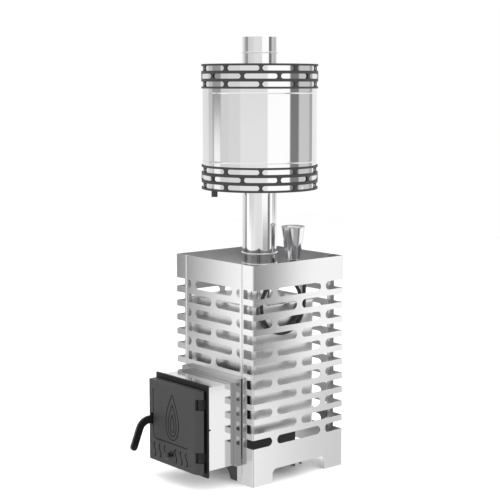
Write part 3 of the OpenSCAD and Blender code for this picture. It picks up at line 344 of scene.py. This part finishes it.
firebox_steel = brushed("firebox_steel", (0.92, 0.92, 0.92), 0.34, (8.0, 8.0, 700.0), 0.00003)
rim_steel = brushed("rim_steel", (0.85, 0.85, 0.85), 0.2, (300.0, 8.0, 300.0), 0.00002)
raw_iron = speckled("raw_iron", (0.075, 0.066, 0.06), 0.45, 0.3, 0.7, 500.0, 0.0004)
welded_edge = 0.5 * mm
rolled_edge = 0.6 * mm
cast_edge = 0.8 * mm
dressed("ash_box", "ash_box_welded", stove_black, welded_edge)
dressed("firebox_body", "firebox_walls", firebox_steel, cut_edge)
dressed("firebox_top", "firebox_roof_plate", rim_steel, rolled_edge)
dressed("grate", "grate_casting", raw_iron, cast_edge)
dressed("liner_left", "liner_left_casting", raw_iron, cast_edge)
dressed("liner_right", "liner_right_casting", raw_iron, cast_edge)
dressed("flame_deflector", "flame_deflector_plate", stove_black, welded_edge)
dressed("steam_box", "steam_box_folded", stove_black, welded_edge)


# Feed tube
# A dark steel tube bent cold in one length: from the socket under the funnel it runs to the side, turns one
# and a quarter times beside the firebox and enters the steam box. The socket is turned and welded on.

tube_steel = speckled("tube_steel", (0.05, 0.05, 0.052), 0.7, 0.6, 0.38, 700.0, 0.00005)
socket_low, socket_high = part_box("steam_tube")
tube_r = 6 * mm
socket_r = 10 * mm
socket_h = 30 * mm
nozzle_bore_r = 7.8 * mm
flue_y = (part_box("tank_body")[0].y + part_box("tank_body")[1].y) / 2
funnel_low, funnel_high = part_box("steam_funnel")
funnel_x = (funnel_low.x + funnel_high.x) / 2
funnel_y = (funnel_low.y + funnel_high.y) / 2
tube_x = socket_high.x - tube_r
tube_bend = 12 * mm
tube_drop = 36 * mm
tube_high = socket_high.z - socket_h - tube_drop
loop_r = 93 * mm
turn_step = 14.5 * mm
inner_r = loop_r - turn_step
upper_r = (loop_r + inner_r) / 2
inlet_bend = 11 * mm
inlet_depth = 21 * mm
turn_run = 2 * mm
route_step = 4 * mm
loop_y = socket_low.y + tube_r + loop_r
loop_z = socket_low.z + tube_r + loop_r


def bent_route(corners, radii, step):
    """Points along straight runs whose inner corners are rounded by the radii."""
    points = [Vector(corners[0])]
    for i in range(1, len(corners) - 1):
        here = Vector(corners[i])
        back = (Vector(corners[i - 1]) - here).normalized()
        ahead = (Vector(corners[i + 1]) - here).normalized()
        half = back.angle(ahead) / 2
        middle = here + (back + ahead).normalized() * radii[i - 1] / math.sin(half)
        start = here + back * radii[i - 1] / math.tan(half)
        end = here + ahead * radii[i - 1] / math.tan(half)
        count = max(3, int((start - end).length / step))
        a, b = start - middle, end - middle
        for k in range(count + 1):
            point = middle + a.slerp(b, k / count) * radii[i - 1]
            if (point - points[-1]).length > weld:
                points.append(point)
    points.append(Vector(corners[-1]))
    return points


def swept(points, radius, sides=20, ring_axis=None):
    """A round bar along the points, closed at both ends; in one plane across the ring axis it is a ring."""
    bm = bmesh.new()
    last = len(points) - 1
    heading = (points[1] - points[0]).normalized()
    across = ring_axis or heading.orthogonal().normalized()
    rings = []
    for i, point in enumerate(points):
        before = points[i - 1] if i or ring_axis else point
        after = points[(i + 1) % len(points)] if i < last or ring_axis else point
        new_heading = (after - before).normalized()
        if not ring_axis:
            across = heading.rotation_difference(new_heading) @ across
        heading = new_heading
        up = heading.cross(across)
        angles = [2 * math.pi * k / sides for k in range(sides)]
        spokes = [math.cos(a) * across + math.sin(a) * up for a in angles]
        rings.append([bm.verts.new(point + radius * spoke) for spoke in spokes])
    for low_ring, high_ring in zip(rings, rings[1:] + (rings[:1] if ring_axis else [])):
        for k in range(sides):
            n = (k + 1) % sides
            bm.faces.new((low_ring[k], low_ring[n], high_ring[n], high_ring[k]))
    if not ring_axis:
        bm.faces.new(rings[0][::-1])
        bm.faces.new(rings[-1])
    return bm


def turned(profile, x, y, steps=120):
    """A body turned about an upright axis, from its closed profile of (radius, height) points."""
    bm = bmesh.new()
    angles = [2 * math.pi * k / steps for k in range(steps)]
    rings = []
    for r, z in profile:
        rings.append([bm.verts.new((x + r * math.cos(a), y + r * math.sin(a), z)) for a in angles])
    for i, ring in enumerate(rings):
        above = rings[(i + 1) % len(rings)]
        for k in range(steps):
            n = (k + 1) % steps
            bm.faces.new((ring[k], ring[n], above[n], above[k]))
    bmesh.ops.remove_doubles(bm, verts=bm.verts, dist=weld / 10)
    bmesh.ops.dissolve_degenerate(bm, edges=bm.edges, dist=weld / 10)
    return bm


def added(bm, other):
    """The two meshes as one."""
    mesh = bpy.data.meshes.new("joined")
    other.to_mesh(mesh)
    bm.from_mesh(mesh)
    bpy.data.meshes.remove(mesh)
    other.free()
    return bm


loop_back, loop_front, inner_back = loop_y + loop_r, loop_y - loop_r, loop_y + inner_r
loop_low, loop_high, inner_low = loop_z - loop_r, loop_z + turn_run + upper_r, loop_z - inner_r
inlet_y = loop_y - turn_run - inlet_bend
tube_route = bent_route(
    [(funnel_x, funnel_y, socket_high.z - socket_h), (funnel_x, funnel_y, tube_high),
     (tube_x, funnel_y, tube_high), (tube_x, loop_back, tube_high), (tube_x, loop_back, loop_low),
     (tube_x, loop_front, loop_low), (tube_x, loop_front, loop_high), (tube_x, inner_back, loop_high),
     (tube_x, inner_back, inner_low), (tube_x, inlet_y, inner_low),
     (socket_high.x - inlet_depth, inlet_y, inner_low)],
    [tube_bend, tube_bend, tube_bend, loop_r, loop_r, upper_r, upper_r, inner_r, inlet_bend], route_step)
socket_z = socket_high.z
socket_foot = socket_z - socket_h
socket_floor = socket_foot + 2 * mm
socket_profile = [(0, socket_foot), (socket_r - mm, socket_foot), (socket_r, socket_foot + mm),
                  (socket_r, socket_z - mm / 2), (socket_r - mm / 2, socket_z), (nozzle_bore_r, socket_z),
                  (nozzle_bore_r, socket_floor), (0, socket_floor)]
piece("feed_tube_bent", added(swept(tube_route, tube_r), turned(socket_profile, funnel_x, funnel_y, 48)),
      [tube_steel], "steam_tube")


# Fire channel
# A black welded duct from the door frame into the firebox, with a shelf that parts the fire from the ash. A
# pan of zinc-plated sheet with a pull at its front slides under the shelf.

zinc = brushed("zinc", (0.55, 0.56, 0.58), 0.3, (400.0, 400.0, 400.0), 0.00003)
folded_edge = 0.3 * mm
dressed("fire_channel", "fire_channel_duct", stove_black, welded_edge)
dressed("channel_shelf", "channel_shelf_plate", stove_black, welded_edge)
dressed("ash_pan", "ash_pan_folded", zinc, folded_edge)


# Casing
# Two side panels of 2 mm satin stainless sheet, each bent round the front and the rear corner, with a slotted
# panel between them at the front and at the back. Long slots are cut before bending; bolts hold the seams.

casing_steel = brushed("casing_steel", (0.84, 0.84, 0.845), 0.2, (6.0, 6.0, 1400.0), 0.00001)
# The inner faces get a rougher copy of the casing steel in a darker tone: the darker tone is painted shade
# inside the casing.
casing_inner_painted_shade = brushed("casing_inner_painted_shade", (0.62, 0.62, 0.625), 0.34, (6.0, 6.0, 900.0), 0.00002)
sheet = 2 * mm
return_d = 18 * mm
slot_h = 29 * mm
slot_r = slot_h / 2
slot_pitch = 48.5 * mm
top_band = 80 * mm
post_w = 22 * mm
post_x = 107 * mm
leg_w = 84 * mm
cutout_h = 46 * mm
cutout_r = 18 * mm
flange_strip = 8 * mm
centre_strip = 10 * mm
bend_r = 4 * mm
fold_r = 3 * mm
casing_low, casing_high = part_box("side_panel_right")
casing_half = casing_high.x
casing_front = casing_low.y
casing_depth = casing_high.y - casing_low.y
flange_x = casing_low.x


def arc(x, z, r, start, end, steps):
    """Points of an arc in a flat pattern; the angles are in degrees."""
    angles = [math.radians(start + (end - start) * k / steps) for k in range(steps + 1)]
    return [(x + r * math.cos(a), z + r * math.sin(a)) for a in angles]


def slot_outline(x0, x1, z, r, round0=True, round1=True):
    """Outline of one slot; each end is round or square."""
    right = arc(x1 - r, z, r, -90, 90, 12) if round1 else [(x1, z - r), (x1, z + r)]
    left = arc(x0 + r, z, r, 90, 270, 12) if round0 else [(x0, z + r), (x0, z - r)]
    return right + left


def inside(point, loop):
    """True if a point of a flat pattern lies inside a loop of points."""
    x, z = point
    count = 0
    for (x0, z0), (x1, z1) in zip(loop, loop[1:] + loop[:1]):
        if (z0 > z) != (z1 > z) and x < x0 + (z - z0) * (x1 - x0) / (z1 - z0):
            count += 1
    return count % 2 == 1


def flat_pattern(outline, holes, lines):
    """The flat pattern of a sheet, cut into triangles and then along upright lines where it will bend."""
    points, loops = [], []
    for loop in [outline, *holes]:
        loops.append(list(range(len(points), len(points) + len(loop))))
        points += [Vector(p) for p in loop]
    made = delaunay_2d_cdt(points, [], loops, 1, 1e-7)
    bm = bmesh.new()
    verts = [bm.verts.new((p[0], p[1], 0)) for p in made[0]]
    for face in made[2]:
        middle = sum((made[0][i] for i in face), Vector((0, 0))) / len(face)
        if not any(inside(middle, hole) for hole in holes):
            bm.faces.new([verts[i] for i in face])
    for line in lines:
        cut = bm.verts[:] + bm.edges[:] + bm.faces[:]
        bmesh.ops.bisect_plane(bm, geom=cut, dist=weld, plane_co=(line, 0, 0), plane_no=(1, 0, 0))
    return bm


def folded(flat, place, thickness, seam=()):
    """The pattern bent by place(along, height, depth), with its thickness; a seam's edges stay open."""
    bm = bmesh.new()
    outer = {v: bm.verts.new(place(v.co.x, v.co.y, 0)) for v in flat.verts}
    inner = {v: bm.verts.new(place(v.co.x, v.co.y, thickness)) for v in flat.verts}
    for face in flat.faces:
        bm.faces.new([outer[v] for v in face.verts])
        bm.faces.new([inner[v] for v in reversed(face.verts)]).material_index = 1
    for edge in flat.edges:
        a, b = edge.verts
        if edge.is_boundary and not any(abs(a.co.x - x) < weld and abs(b.co.x - x) < weld for x in seam):
            bm.faces.new((outer[a], outer[b], inner[b], inner[a]))
    flat.free()
    bmesh.ops.remove_doubles(bm, verts=bm.verts, dist=weld)
    return bm


class Fold:
    """The plan of a bent sheet: straight legs with a left turn of 90 degrees between them. The outer face is
    on the right, and every length is measured to the sharp corners."""

    def __init__(self, start, heading, legs, radii):
        self.runs, self.lines, self.corners = [], [], []
        point, heading, along = Vector(start), Vector(heading), 0.0
        radii = [0.0, *radii, 0.0]
        for i, leg in enumerate(legs):
            length = leg - radii[i] - radii[i + 1]
            self.corners.append(along - radii[i])
            self.runs.append((along, length, point.copy(), heading.copy(), 0.0))
            point = point + heading * length
            along += length
            if i < len(legs) - 1:
                r = radii[i + 1]
                left = Vector((-heading.y, heading.x))
                turn_l = r * math.pi / 2
                self.runs.append((along, turn_l, point + left * r, heading.copy(), r))
                self.lines += [along + turn_l * k / 6 for k in range(7)]
                point = point + heading * r + left * r
                heading = left
                along += turn_l
        self.length = along

    def place(self, along, height, depth):
        start, length, point, heading, r = [run for run in self.runs if run[0] <= along + weld][-1]
        left = Vector((-heading.y, heading.x))
        t = along - start
        if r == 0:
            at = point + heading * t + left * depth
        else:
            a = t / r
            at = point + (r - depth) * (heading * math.sin(a) - left * math.cos(a))
        return (at.x, at.y, height)


def row_height(row):
    return casing_high.z - top_band - slot_r - row * slot_pitch


def row_posts(row, middle):
    """Places of a row's posts along a face: two outer ones, or one in the middle."""
    return [middle - post_x, middle + post_x] if row % 2 == 0 else [middle]


def side_sheet(name, node, mirrored):
    """One side panel: returns, front and rear flange, side face with its legs."""
    flange = casing_half - flange_x
    fold = Fold((flange_x, casing_front + sheet + return_d), (0, -1),
                [sheet + return_d, flange, casing_depth, flange, sheet + return_d],
                [fold_r, bend_r, bend_r, fold_r])
    side_start = fold.corners[2]
    middle = side_start + casing_depth / 2
    front_open = fold.corners[1] + flange_strip
    rear_open = fold.length - sheet - return_d - flange_strip + fold_r * (2 - math.pi / 2) - fold_r
    cut_low, cut_high = side_start + leg_w, side_start + casing_depth - leg_w
    outline = [(0, 0), (cut_low, 0)]
    outline += arc(cut_low + cutout_r, cutout_h - cutout_r, cutout_r, 180, 90, 10)
    outline += arc(cut_high - cutout_r, cutout_h - cutout_r, cutout_r, 90, 0, 10)
    outline += [(cut_high, 0), (fold.length, 0), (fold.length, casing_high.z), (0, casing_high.z)]
    holes = []
    for row in range(11):
        z = row_height(row)
        posts = row_posts(row, middle)
        holes.append(slot_outline(front_open, posts[0] - post_w / 2, z, slot_r, False, True))
        for left, right in zip(posts, posts[1:]):
            holes.append(slot_outline(left + post_w / 2, right - post_w / 2, z, slot_r))
        holes.append(slot_outline(posts[-1] + post_w / 2, rear_open, z, slot_r, True, False))
    bm = folded(flat_pattern(outline, holes, fold.lines), fold.place, sheet)
    if mirrored:
        bmesh.ops.scale(bm, vec=(-1, 1, 1), verts=bm.verts)
        bmesh.ops.reverse_faces(bm, faces=bm.faces)
    # The inner faces take the darker sheet: painted shade inside the casing.
    return piece(name, bm, [casing_steel, casing_inner_painted_shade], node)


def centre_sheet(name, node, rows, at_rear):
    """The slotted panel between the side panels, with a return at each seam."""
    low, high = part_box(node)
    half = high.x
    depth = sheet + return_d
    fold = Fold((-half, casing_front + depth), (0, -1), [depth, 2 * half, depth], [fold_r, fold_r])
    middle = fold.corners[1] + half
    outline = [(0, low.z), (fold.length, low.z), (fold.length, high.z), (0, high.z)]
    holes = []
    for row in range(rows):
        z = row_height(row)
        posts = row_posts(row, middle)
        first, last = middle - half + centre_strip, middle + half - centre_strip
        holes.append(slot_outline(first, posts[0] - post_w / 2, z, slot_r, False, True))
        for left, right in zip(posts, posts[1:]):
            holes.append(slot_outline(left + post_w / 2, right - post_w / 2, z, slot_r))
        holes.append(slot_outline(posts[-1] + post_w / 2, last, z, slot_r, True, False))
    bm = folded(flat_pattern(outline, holes, fold.lines), fold.place, sheet)
    if at_rear:
        for v in bm.verts:
            v.co.x, v.co.y = -v.co.x, 2 * flue_y - v.co.y
    # The inner faces take the darker sheet: painted shade inside the casing.
    return piece(name, bm, [casing_steel, casing_inner_painted_shade], node)


side_sheet("side_sheet_right", "side_panel_right", False)
side_sheet("side_sheet_left", "side_panel_left", True)
centre_sheet("front_slotted_sheet", "front_grille", 6, False)
centre_sheet("rear_slotted_sheet", "rear_grille", 11, True)
dressed("seam_bolts", "seam_bolts_zinc", zinc, folded_edge)


# Tunnel
# A polished jacket of thin stainless sheet round the fire channel, and a stepped collar that closes the
# casing's front round it. Two small dark screws hold the jacket to lugs of the door frame.


def polished(name, colour, roughness, ripple):
    """Mirror-bright sheet: rolled a little uneven, with faint wipe marks in its gloss."""
    material, shader, place = new_finish(name, colour, 1, roughness)
    wipe = place.node("ShaderNodeTexNoise", None, {"Vector": place, "Scale": 11.0, "Detail": 6.0})
    (wipe * 0.05 + (roughness - 0.025)).into(shader, "Roughness")
    pale = tuple(min(c * 1.02, 1.0) for c in colour)
    deep = tuple(c * 0.97 for c in colour)
    tone = place.node("ShaderNodeMix", {"data_type": "RGBA"}, {0: wipe, 6: (*deep, 1), 7: (*pale, 1)}, 2)
    tone.into(shader, "Base Color")
    wave = place.node("ShaderNodeTexNoise", None, {"Vector": place, "Scale": 5.0, "Detail": 1.0})
    bump = place.node("ShaderNodeBump", None, {"Strength": 0.4, "Distance": ripple, "Height": wave})
    bump.into(shader, "Normal")
    return material


mirror_sheet = polished("mirror_sheet", (0.79, 0.79, 0.795), 0.09, 0.0006)
collar_sheet = brushed("collar_sheet", (0.42, 0.42, 0.425), 0.14, (8.0, 300.0, 300.0), 0.00002)
screw_black = speckled("screw_black", (0.012, 0.012, 0.012), 0.7, 0.4, 0.4, 1500.0, 0.00003)
dressed("tunnel_jacket", "tunnel_jacket_sheet", mirror_sheet, rolled_edge)
dressed("tunnel_collar", "tunnel_collar_folded", collar_sheet, rolled_edge)
dressed("jacket_screws", "jacket_screws_black", screw_black, cut_edge)


# Door frame
# A near-black iron casting with two hinge lugs, screwed into the fire channel. A braided glass-fibre rope
# lies in its groove round the fire opening, two steel pins stand in its lugs and a steel block stands in the
# top of the latch's slot.

frame_iron = speckled("frame_iron", (0.008, 0.008, 0.008), 0.6, 0.1, 0.55, 1100.0, 0.00018)
pin_steel = brushed("pin_steel", (0.45, 0.45, 0.46), 0.28, (500.0, 500.0, 60.0), 0.00003)
frame_edge = 0.7 * mm
dressed("door_frame", "door_frame_casting", frame_iron, frame_edge)
dressed("frame_screws", "frame_screws_zinc", zinc, cut_edge)
dressed("hinge_pins", "hinge_pins_steel", pin_steel, cut_edge)
dressed("latch_keeper", "latch_keeper_block", pin_steel, folded_edge)

rope, rope_shader, rope_place = new_finish("rope", (0.42, 0.41, 0.38), 0, 0.95)
braid = rope_place.node("ShaderNodeTexWave", {"wave_type": "BANDS", "bands_direction": "DIAGONAL"},
                        {"Vector": rope_place, "Scale": 260.0, "Distortion": 1.5})
# The rope's tone follows the braid's relief, darker in its hollows and paler on its crests: painted shade.
braid_tone_hollow_shade = rope_place.node("ShaderNodeMix", {"data_type": "RGBA"},
                            {0: braid, 6: (0.2, 0.19, 0.17, 1), 7: (0.5, 0.49, 0.46, 1)}, 2)
braid_tone_hollow_shade.into(rope_shader, "Base Color")
rope_place.node("ShaderNodeBump", None, {"Strength": 0.9, "Distance": 0.0008, "Height": braid}).into(
    rope_shader, "Normal")
round_edge = 1.6 * mm
dressed("door_seal", "door_seal_rope", rope, round_edge, 4)


# Door
# A hollow iron casting in dark grey heat-proof paint, with six wavy air vents and shallow lines cast into
# its face: a border at the left and below, and plain nested drops. A sheet shield stands on spacers behind
# it, with the guides of the air shutter, and a steel pin carries the latch.

door_paint = speckled("door_paint", (0.038, 0.038, 0.038), 0.82, 0.0, 0.5, 1300.0, 0.00022)
# The walls of the cast lines get a near-black paint of their own: painted shade in the grooves.
groove_shade_paint = speckled("groove_shade_paint", (0.01, 0.01, 0.01), 0.8, 0.0, 0.7, 1300.0, 0.0001)
line_r = 2.1 * mm
door_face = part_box("door")[0].y
border_x, border_z = -113, 131
border_r = 20
border_top, border_right = 298, 69
drop_x = -10
drops = ((88, 150, 218), (56, 104, 208), (26, 58, 198))


def drop_outline(x, z, width, length, steps=56):
    """A closed drop with its tip up, in the plane of the door's face."""
    points = []
    for k in range(steps):
        a = 2 * math.pi * k / steps
        swell = math.sin(a / 2)
        points.append(Vector((x + width / 2 * math.sin(a) * swell, door_face, z + length / 2 * math.cos(a))))
    return points


def across_door(x, z):
    return Vector((x * mm, door_face, z * mm))


thick_edge = 1.0 * mm
door = dressed("door", "door_casting", door_paint, thick_edge, 2)
border = [across_door(border_x, border_top), across_door(border_x, 225)]
for degrees in range(180, 271, 10):
    a = math.radians(degrees)
    border.append(across_door(border_x + border_r + border_r * math.cos(a),
                              border_z + border_r + border_r * math.sin(a)))
border.append(across_door(border_right, border_z))
cutters = swept(border, line_r, 10)
for width, length, centre in drops:
    outline = drop_outline(drop_x * mm, centre * mm, width * mm, length * mm)
    added(cutters, swept(outline, line_r, 10, Vector((0, 1, 0))))
cutter_mesh = bpy.data.meshes.new("door_lines")
bmesh.ops.recalc_face_normals(cutters, faces=cutters.faces)
cutters.to_mesh(cutter_mesh)
cutters.free()
# Painted shade: the cutters' near-black paint passes to the groove walls that they cut.
cutter_mesh.materials.append(groove_shade_paint)
cutter = bpy.data.objects.new("door_lines", cutter_mesh)
bpy.context.scene.collection.objects.link(cutter)
door.data.materials.append(groove_shade_paint)
groove = door.modifiers.new("cast_lines", "BOOLEAN")
groove.object = cutter
groove.operation = "DIFFERENCE"
groove.solver = "EXACT"
groove.use_self = True
groove.material_mode = "TRANSFER"
bpy.context.view_layer.update()
grooved = bpy.data.meshes.new_from_object(door.evaluated_get(bpy.context.evaluated_depsgraph_get()))
door.modifiers.clear()
door.data = grooved
door.modifiers.new("flat_faces", "WEIGHTED_NORMAL").keep_sharp = True
bpy.data.objects.remove(cutter)

shield_steel = brushed("shield_steel", (0.6, 0.59, 0.57), 0.3, (8.0, 300.0, 700.0), 0.00004)
dressed("inner_shield", "inner_shield_sheet", shield_steel, folded_edge)
dressed("shield_spacers", "shield_spacers_zinc", zinc, folded_edge)
dressed("shutter_guides", "shutter_guides_zinc", zinc, folded_edge)
dressed("latch_pin", "latch_pin_steel", pin_steel, folded_edge)


# Air shutter
# A black plate that slides behind the vents, moved by a turned black knob whose stem passes through the door.

enamel = speckled("enamel", (0.008, 0.008, 0.008), 0.8, 0.0, 0.24, 60.0, 0.00004, Coat_Weight=0.6)
dressed("air_shutter", "air_shutter_plate", stove_black, folded_edge)
dressed("air_knob", "air_knob_turned", enamel, thick_edge, 3)


# Latch lever
# A flat black enamelled handle that curves down and forwards, forged on one plate with the nose that locks
# behind the frame. It turns on the pin in the door.

dressed("latch_lever", "latch_lever_forged", enamel, round_edge, 3, 50)


# Flue
# Polished stainless pipes with rolled beads: the outlet in the firebox roof, a collar with two beads at the
# joint, the pipe through the tank and the plain upper pipe.

pipe_mirror = polished("pipe_mirror", (0.9, 0.9, 0.91), 0.06, 0.0002)
flue_r = 57.5 * mm
flue_wall = 1.5 * mm
bead_r = 2.2 * mm


def bead(r, z, size, steps=8):
    """Profile points of a half-round bead on a wall, from its lower to its upper end."""
    return arc(r, z, size, -90, 90, steps)


def pipe_profile(low, high, r, wall, beads=()):
    """Closed profile of a pipe with broken edges and beads at the given heights and sizes."""
    lip = 0.4 * mm
    outside = [(r - lip, low), (r, low + lip)]
    for z, size in beads:
        outside += bead(r, z, size)
    outside += [(r, high - lip), (r - lip, high)]
    return outside + [(r - wall, high), (r - wall, low)]


def pipe(name, node, r, wall, beads=()):
    low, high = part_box(node)
    profile = pipe_profile(low.z, high.z, r, wall, beads)
    return piece(name, turned(profile, 0, flue_y, 144), [pipe_mirror], node)


pipe("flue_outlet_pipe", "firebox_outlet", flue_r, flue_wall)
collar_low, collar_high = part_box("flue_collar")
collar_r = collar_high.x - bead_r
pipe("flue_joint_collar", "flue_collar", collar_r, 1.5 * mm,
     [(collar_low.z + bead_r, bead_r), (collar_high.z - bead_r, bead_r)])
pipe("tank_through_pipe", "tank_pipe", flue_r, flue_wall)
upper_low, upper_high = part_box("upper_pipe")
upper_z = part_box("tank_pipe")[1].z
sleeve_r = flue_r - flue_wall - 0.1 * mm
upper_bead_r = 2.5 * mm
upper_profile = [(sleeve_r, upper_low.z), (sleeve_r, upper_z), (flue_r, upper_z)]
upper_profile += bead(flue_r, upper_z + upper_bead_r, upper_bead_r)
upper_profile += [(flue_r, upper_high.z - 0.4 * mm), (flue_r - 0.4 * mm, upper_high.z),
                  (sleeve_r - flue_wall, upper_high.z), (sleeve_r - flue_wall, upper_low.z)]
piece("upper_pipe_end", turned(upper_profile, 0, flue_y, 144), [pipe_mirror], "upper_pipe")


# Tank
# A rolled shell of mirror stainless with a swaged bead near each end and welded discs, round the flue. Dark
# grey slotted bands stand off its two ends on small pads. The outlet is a threaded stub with a nut inside.

tank_mirror = polished("tank_mirror", (0.9, 0.9, 0.905), 0.05, 0.0003)
disc_steel = brushed("disc_steel", (0.7, 0.7, 0.71), 0.26, (200.0, 200.0, 8.0), 0.00003)
band_paint = speckled("band_paint", (0.03, 0.03, 0.03), 0.9, 0.0, 0.5, 1600.0, 0.00006)
tank_low, tank_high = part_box("tank_body")
tank_r = 190 * mm
tank_wall = 1.5 * mm
swage_w = 5.5 * mm
swage_out = 1.0 * mm
band_t = 2 * mm
band_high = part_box("tank_band_bottom")[1]
band_r = band_high.x
swage_gap = 14 * mm
upper_band_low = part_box("tank_band_top")[0].z


def swage(z):
    """Profile points of a shallow rolled bead."""
    shares = [k / 12 for k in range(13)]
    return [(tank_r + swage_out * math.sin(math.pi * s) ** 2, z + swage_w * (s - 0.5)) for s in shares]


lip = 0.5 * mm
tank_profile = [(tank_r - lip, tank_low.z), (tank_r, tank_low.z + lip)]
tank_profile += swage(band_high.z + swage_gap) + swage(upper_band_low - swage_gap)
tank_profile += [(tank_r, tank_high.z - lip), (tank_r - lip, tank_high.z), (tank_r - tank_wall, tank_high.z),
                 (tank_r - tank_wall, tank_low.z)]
piece("tank_shell_rolled", turned(tank_profile, 0, flue_y, 192), [tank_mirror], "tank_body")
dressed("tank_bottom", "tank_bottom_disc", disc_steel, folded_edge)
dressed("tank_top", "tank_top_disc", disc_steel, folded_edge)
dressed("band_spacers", "band_pads", zinc, 0)

band_posts = 10
band_slot_r = 8 * mm
band_post_w = 10 * mm
band_pitch = 25.5 * mm
band_turn = math.radians(-39.75)
cell = 2 * math.pi * band_r / band_posts
cell_slot = cell / 2 - band_post_w / 2


def slotted_band(name, node):
    """A band from ten equal cells: one whole slot in the middle row, and half slots at the cell's sides above
    and below it."""
    low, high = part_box(node)
    middle = (low.z + high.z) / 2
    outline = [(-cell / 2, low.z), (cell / 2, low.z)]
    edge_x = cell / 2 - cell_slot
    for z in (middle - band_pitch, middle + band_pitch):
        outline += [(cell / 2, z - band_slot_r)] + arc(edge_x + band_slot_r, z, band_slot_r, 270, 90, 10)
        outline += [(cell / 2, z + band_slot_r)]
    outline += [(cell / 2, high.z), (-cell / 2, high.z)]
    for z in (middle + band_pitch, middle - band_pitch):
        outline += [(-cell / 2, z + band_slot_r)] + arc(-edge_x - band_slot_r, z, band_slot_r, 90, -90, 10)
        outline += [(-cell / 2, z - band_slot_r)]
    slot = slot_outline(-cell_slot, cell_slot, middle, band_slot_r)
    lines = [cell * (k / 12 - 0.5) for k in range(1, 12)]
    flat = flat_pattern(outline, [slot], lines)
    whole = bmesh.new()
    mesh = bpy.data.meshes.new("cell")
    flat.to_mesh(mesh)
    flat.free()
    for i in range(band_posts):
        whole.from_mesh(mesh)
        bmesh.ops.translate(whole, vec=(cell, 0, 0), verts=whole.verts)
    bpy.data.meshes.remove(mesh)
    bmesh.ops.remove_doubles(whole, verts=whole.verts, dist=weld)

    def place(along, height, depth):
        a = band_turn + along / band_r
        return ((band_r - depth) * math.cos(a), flue_y + (band_r - depth) * math.sin(a), height)

    bm = folded(whole, place, band_t, (cell / 2, cell * (band_posts + 0.5)))
    return piece(name, bm, [band_paint, band_paint], node)


slotted_band("lower_slotted_band", "tank_band_bottom")
slotted_band("upper_slotted_band", "tank_band_top")

thread_steel = brushed("thread_steel", (0.09, 0.09, 0.09), 0.35, (100.0, 100.0, 2500.0), 0.0002)
brass = brushed("brass", (0.6, 0.42, 0.16), 0.25, (300.0, 300.0, 300.0), 0.00003)
dressed("outlet_nipple", "outlet_stub", thread_steel, cut_edge)
dressed("outlet_nut", "outlet_nut_brass", brass, welded_edge)


# Filler lid
# A small turned lid with a knob over the filling hole in the tank's top disc. It swings up on a steel pin
# between two ears.

dressed("filler_lid", "filler_lid_turned", disc_steel, welded_edge)
dressed("lid_pin", "lid_pin_steel", pin_steel, hair_edge)


# Steam funnel
# A spun polished cup with a rolled rim, for pouring water on the stones. Its nozzle stands in the feed tube's
# socket, and the whole cup lifts out.

cup_mirror = polished("cup_mirror", (0.8, 0.8, 0.81), 0.1, 0.0003)
cup_h = 113 * mm
cup_z = funnel_high.z - cup_h
rim_r = 2 * mm
mouth_r = 39.5 * mm
foot_r = 24.5 * mm
cup_wall = 1.2 * mm
nozzle_r = 7.5 * mm
rim_z = funnel_high.z - rim_r
foot_round = 3 * mm
cup_profile = [(nozzle_r, funnel_low.z), (nozzle_r, cup_z)]
cup_profile += arc(foot_r - foot_round, cup_z + foot_round, foot_round, -90, 0, 5)
cup_profile += [(mouth_r, rim_z - rim_r)] + arc(mouth_r, rim_z, rim_r, -90, 180, 12)
cup_profile += [(mouth_r - cup_wall, rim_z - rim_r), (foot_r - cup_wall, cup_z + foot_round),
                (foot_r - foot_round, cup_z + cup_wall), (nozzle_r - cup_wall, cup_z + cup_wall),
                (nozzle_r - cup_wall, funnel_low.z)]
piece("steam_cup_spun", turned(cup_profile, funnel_x, funnel_y, 96), [cup_mirror], "steam_funnel")
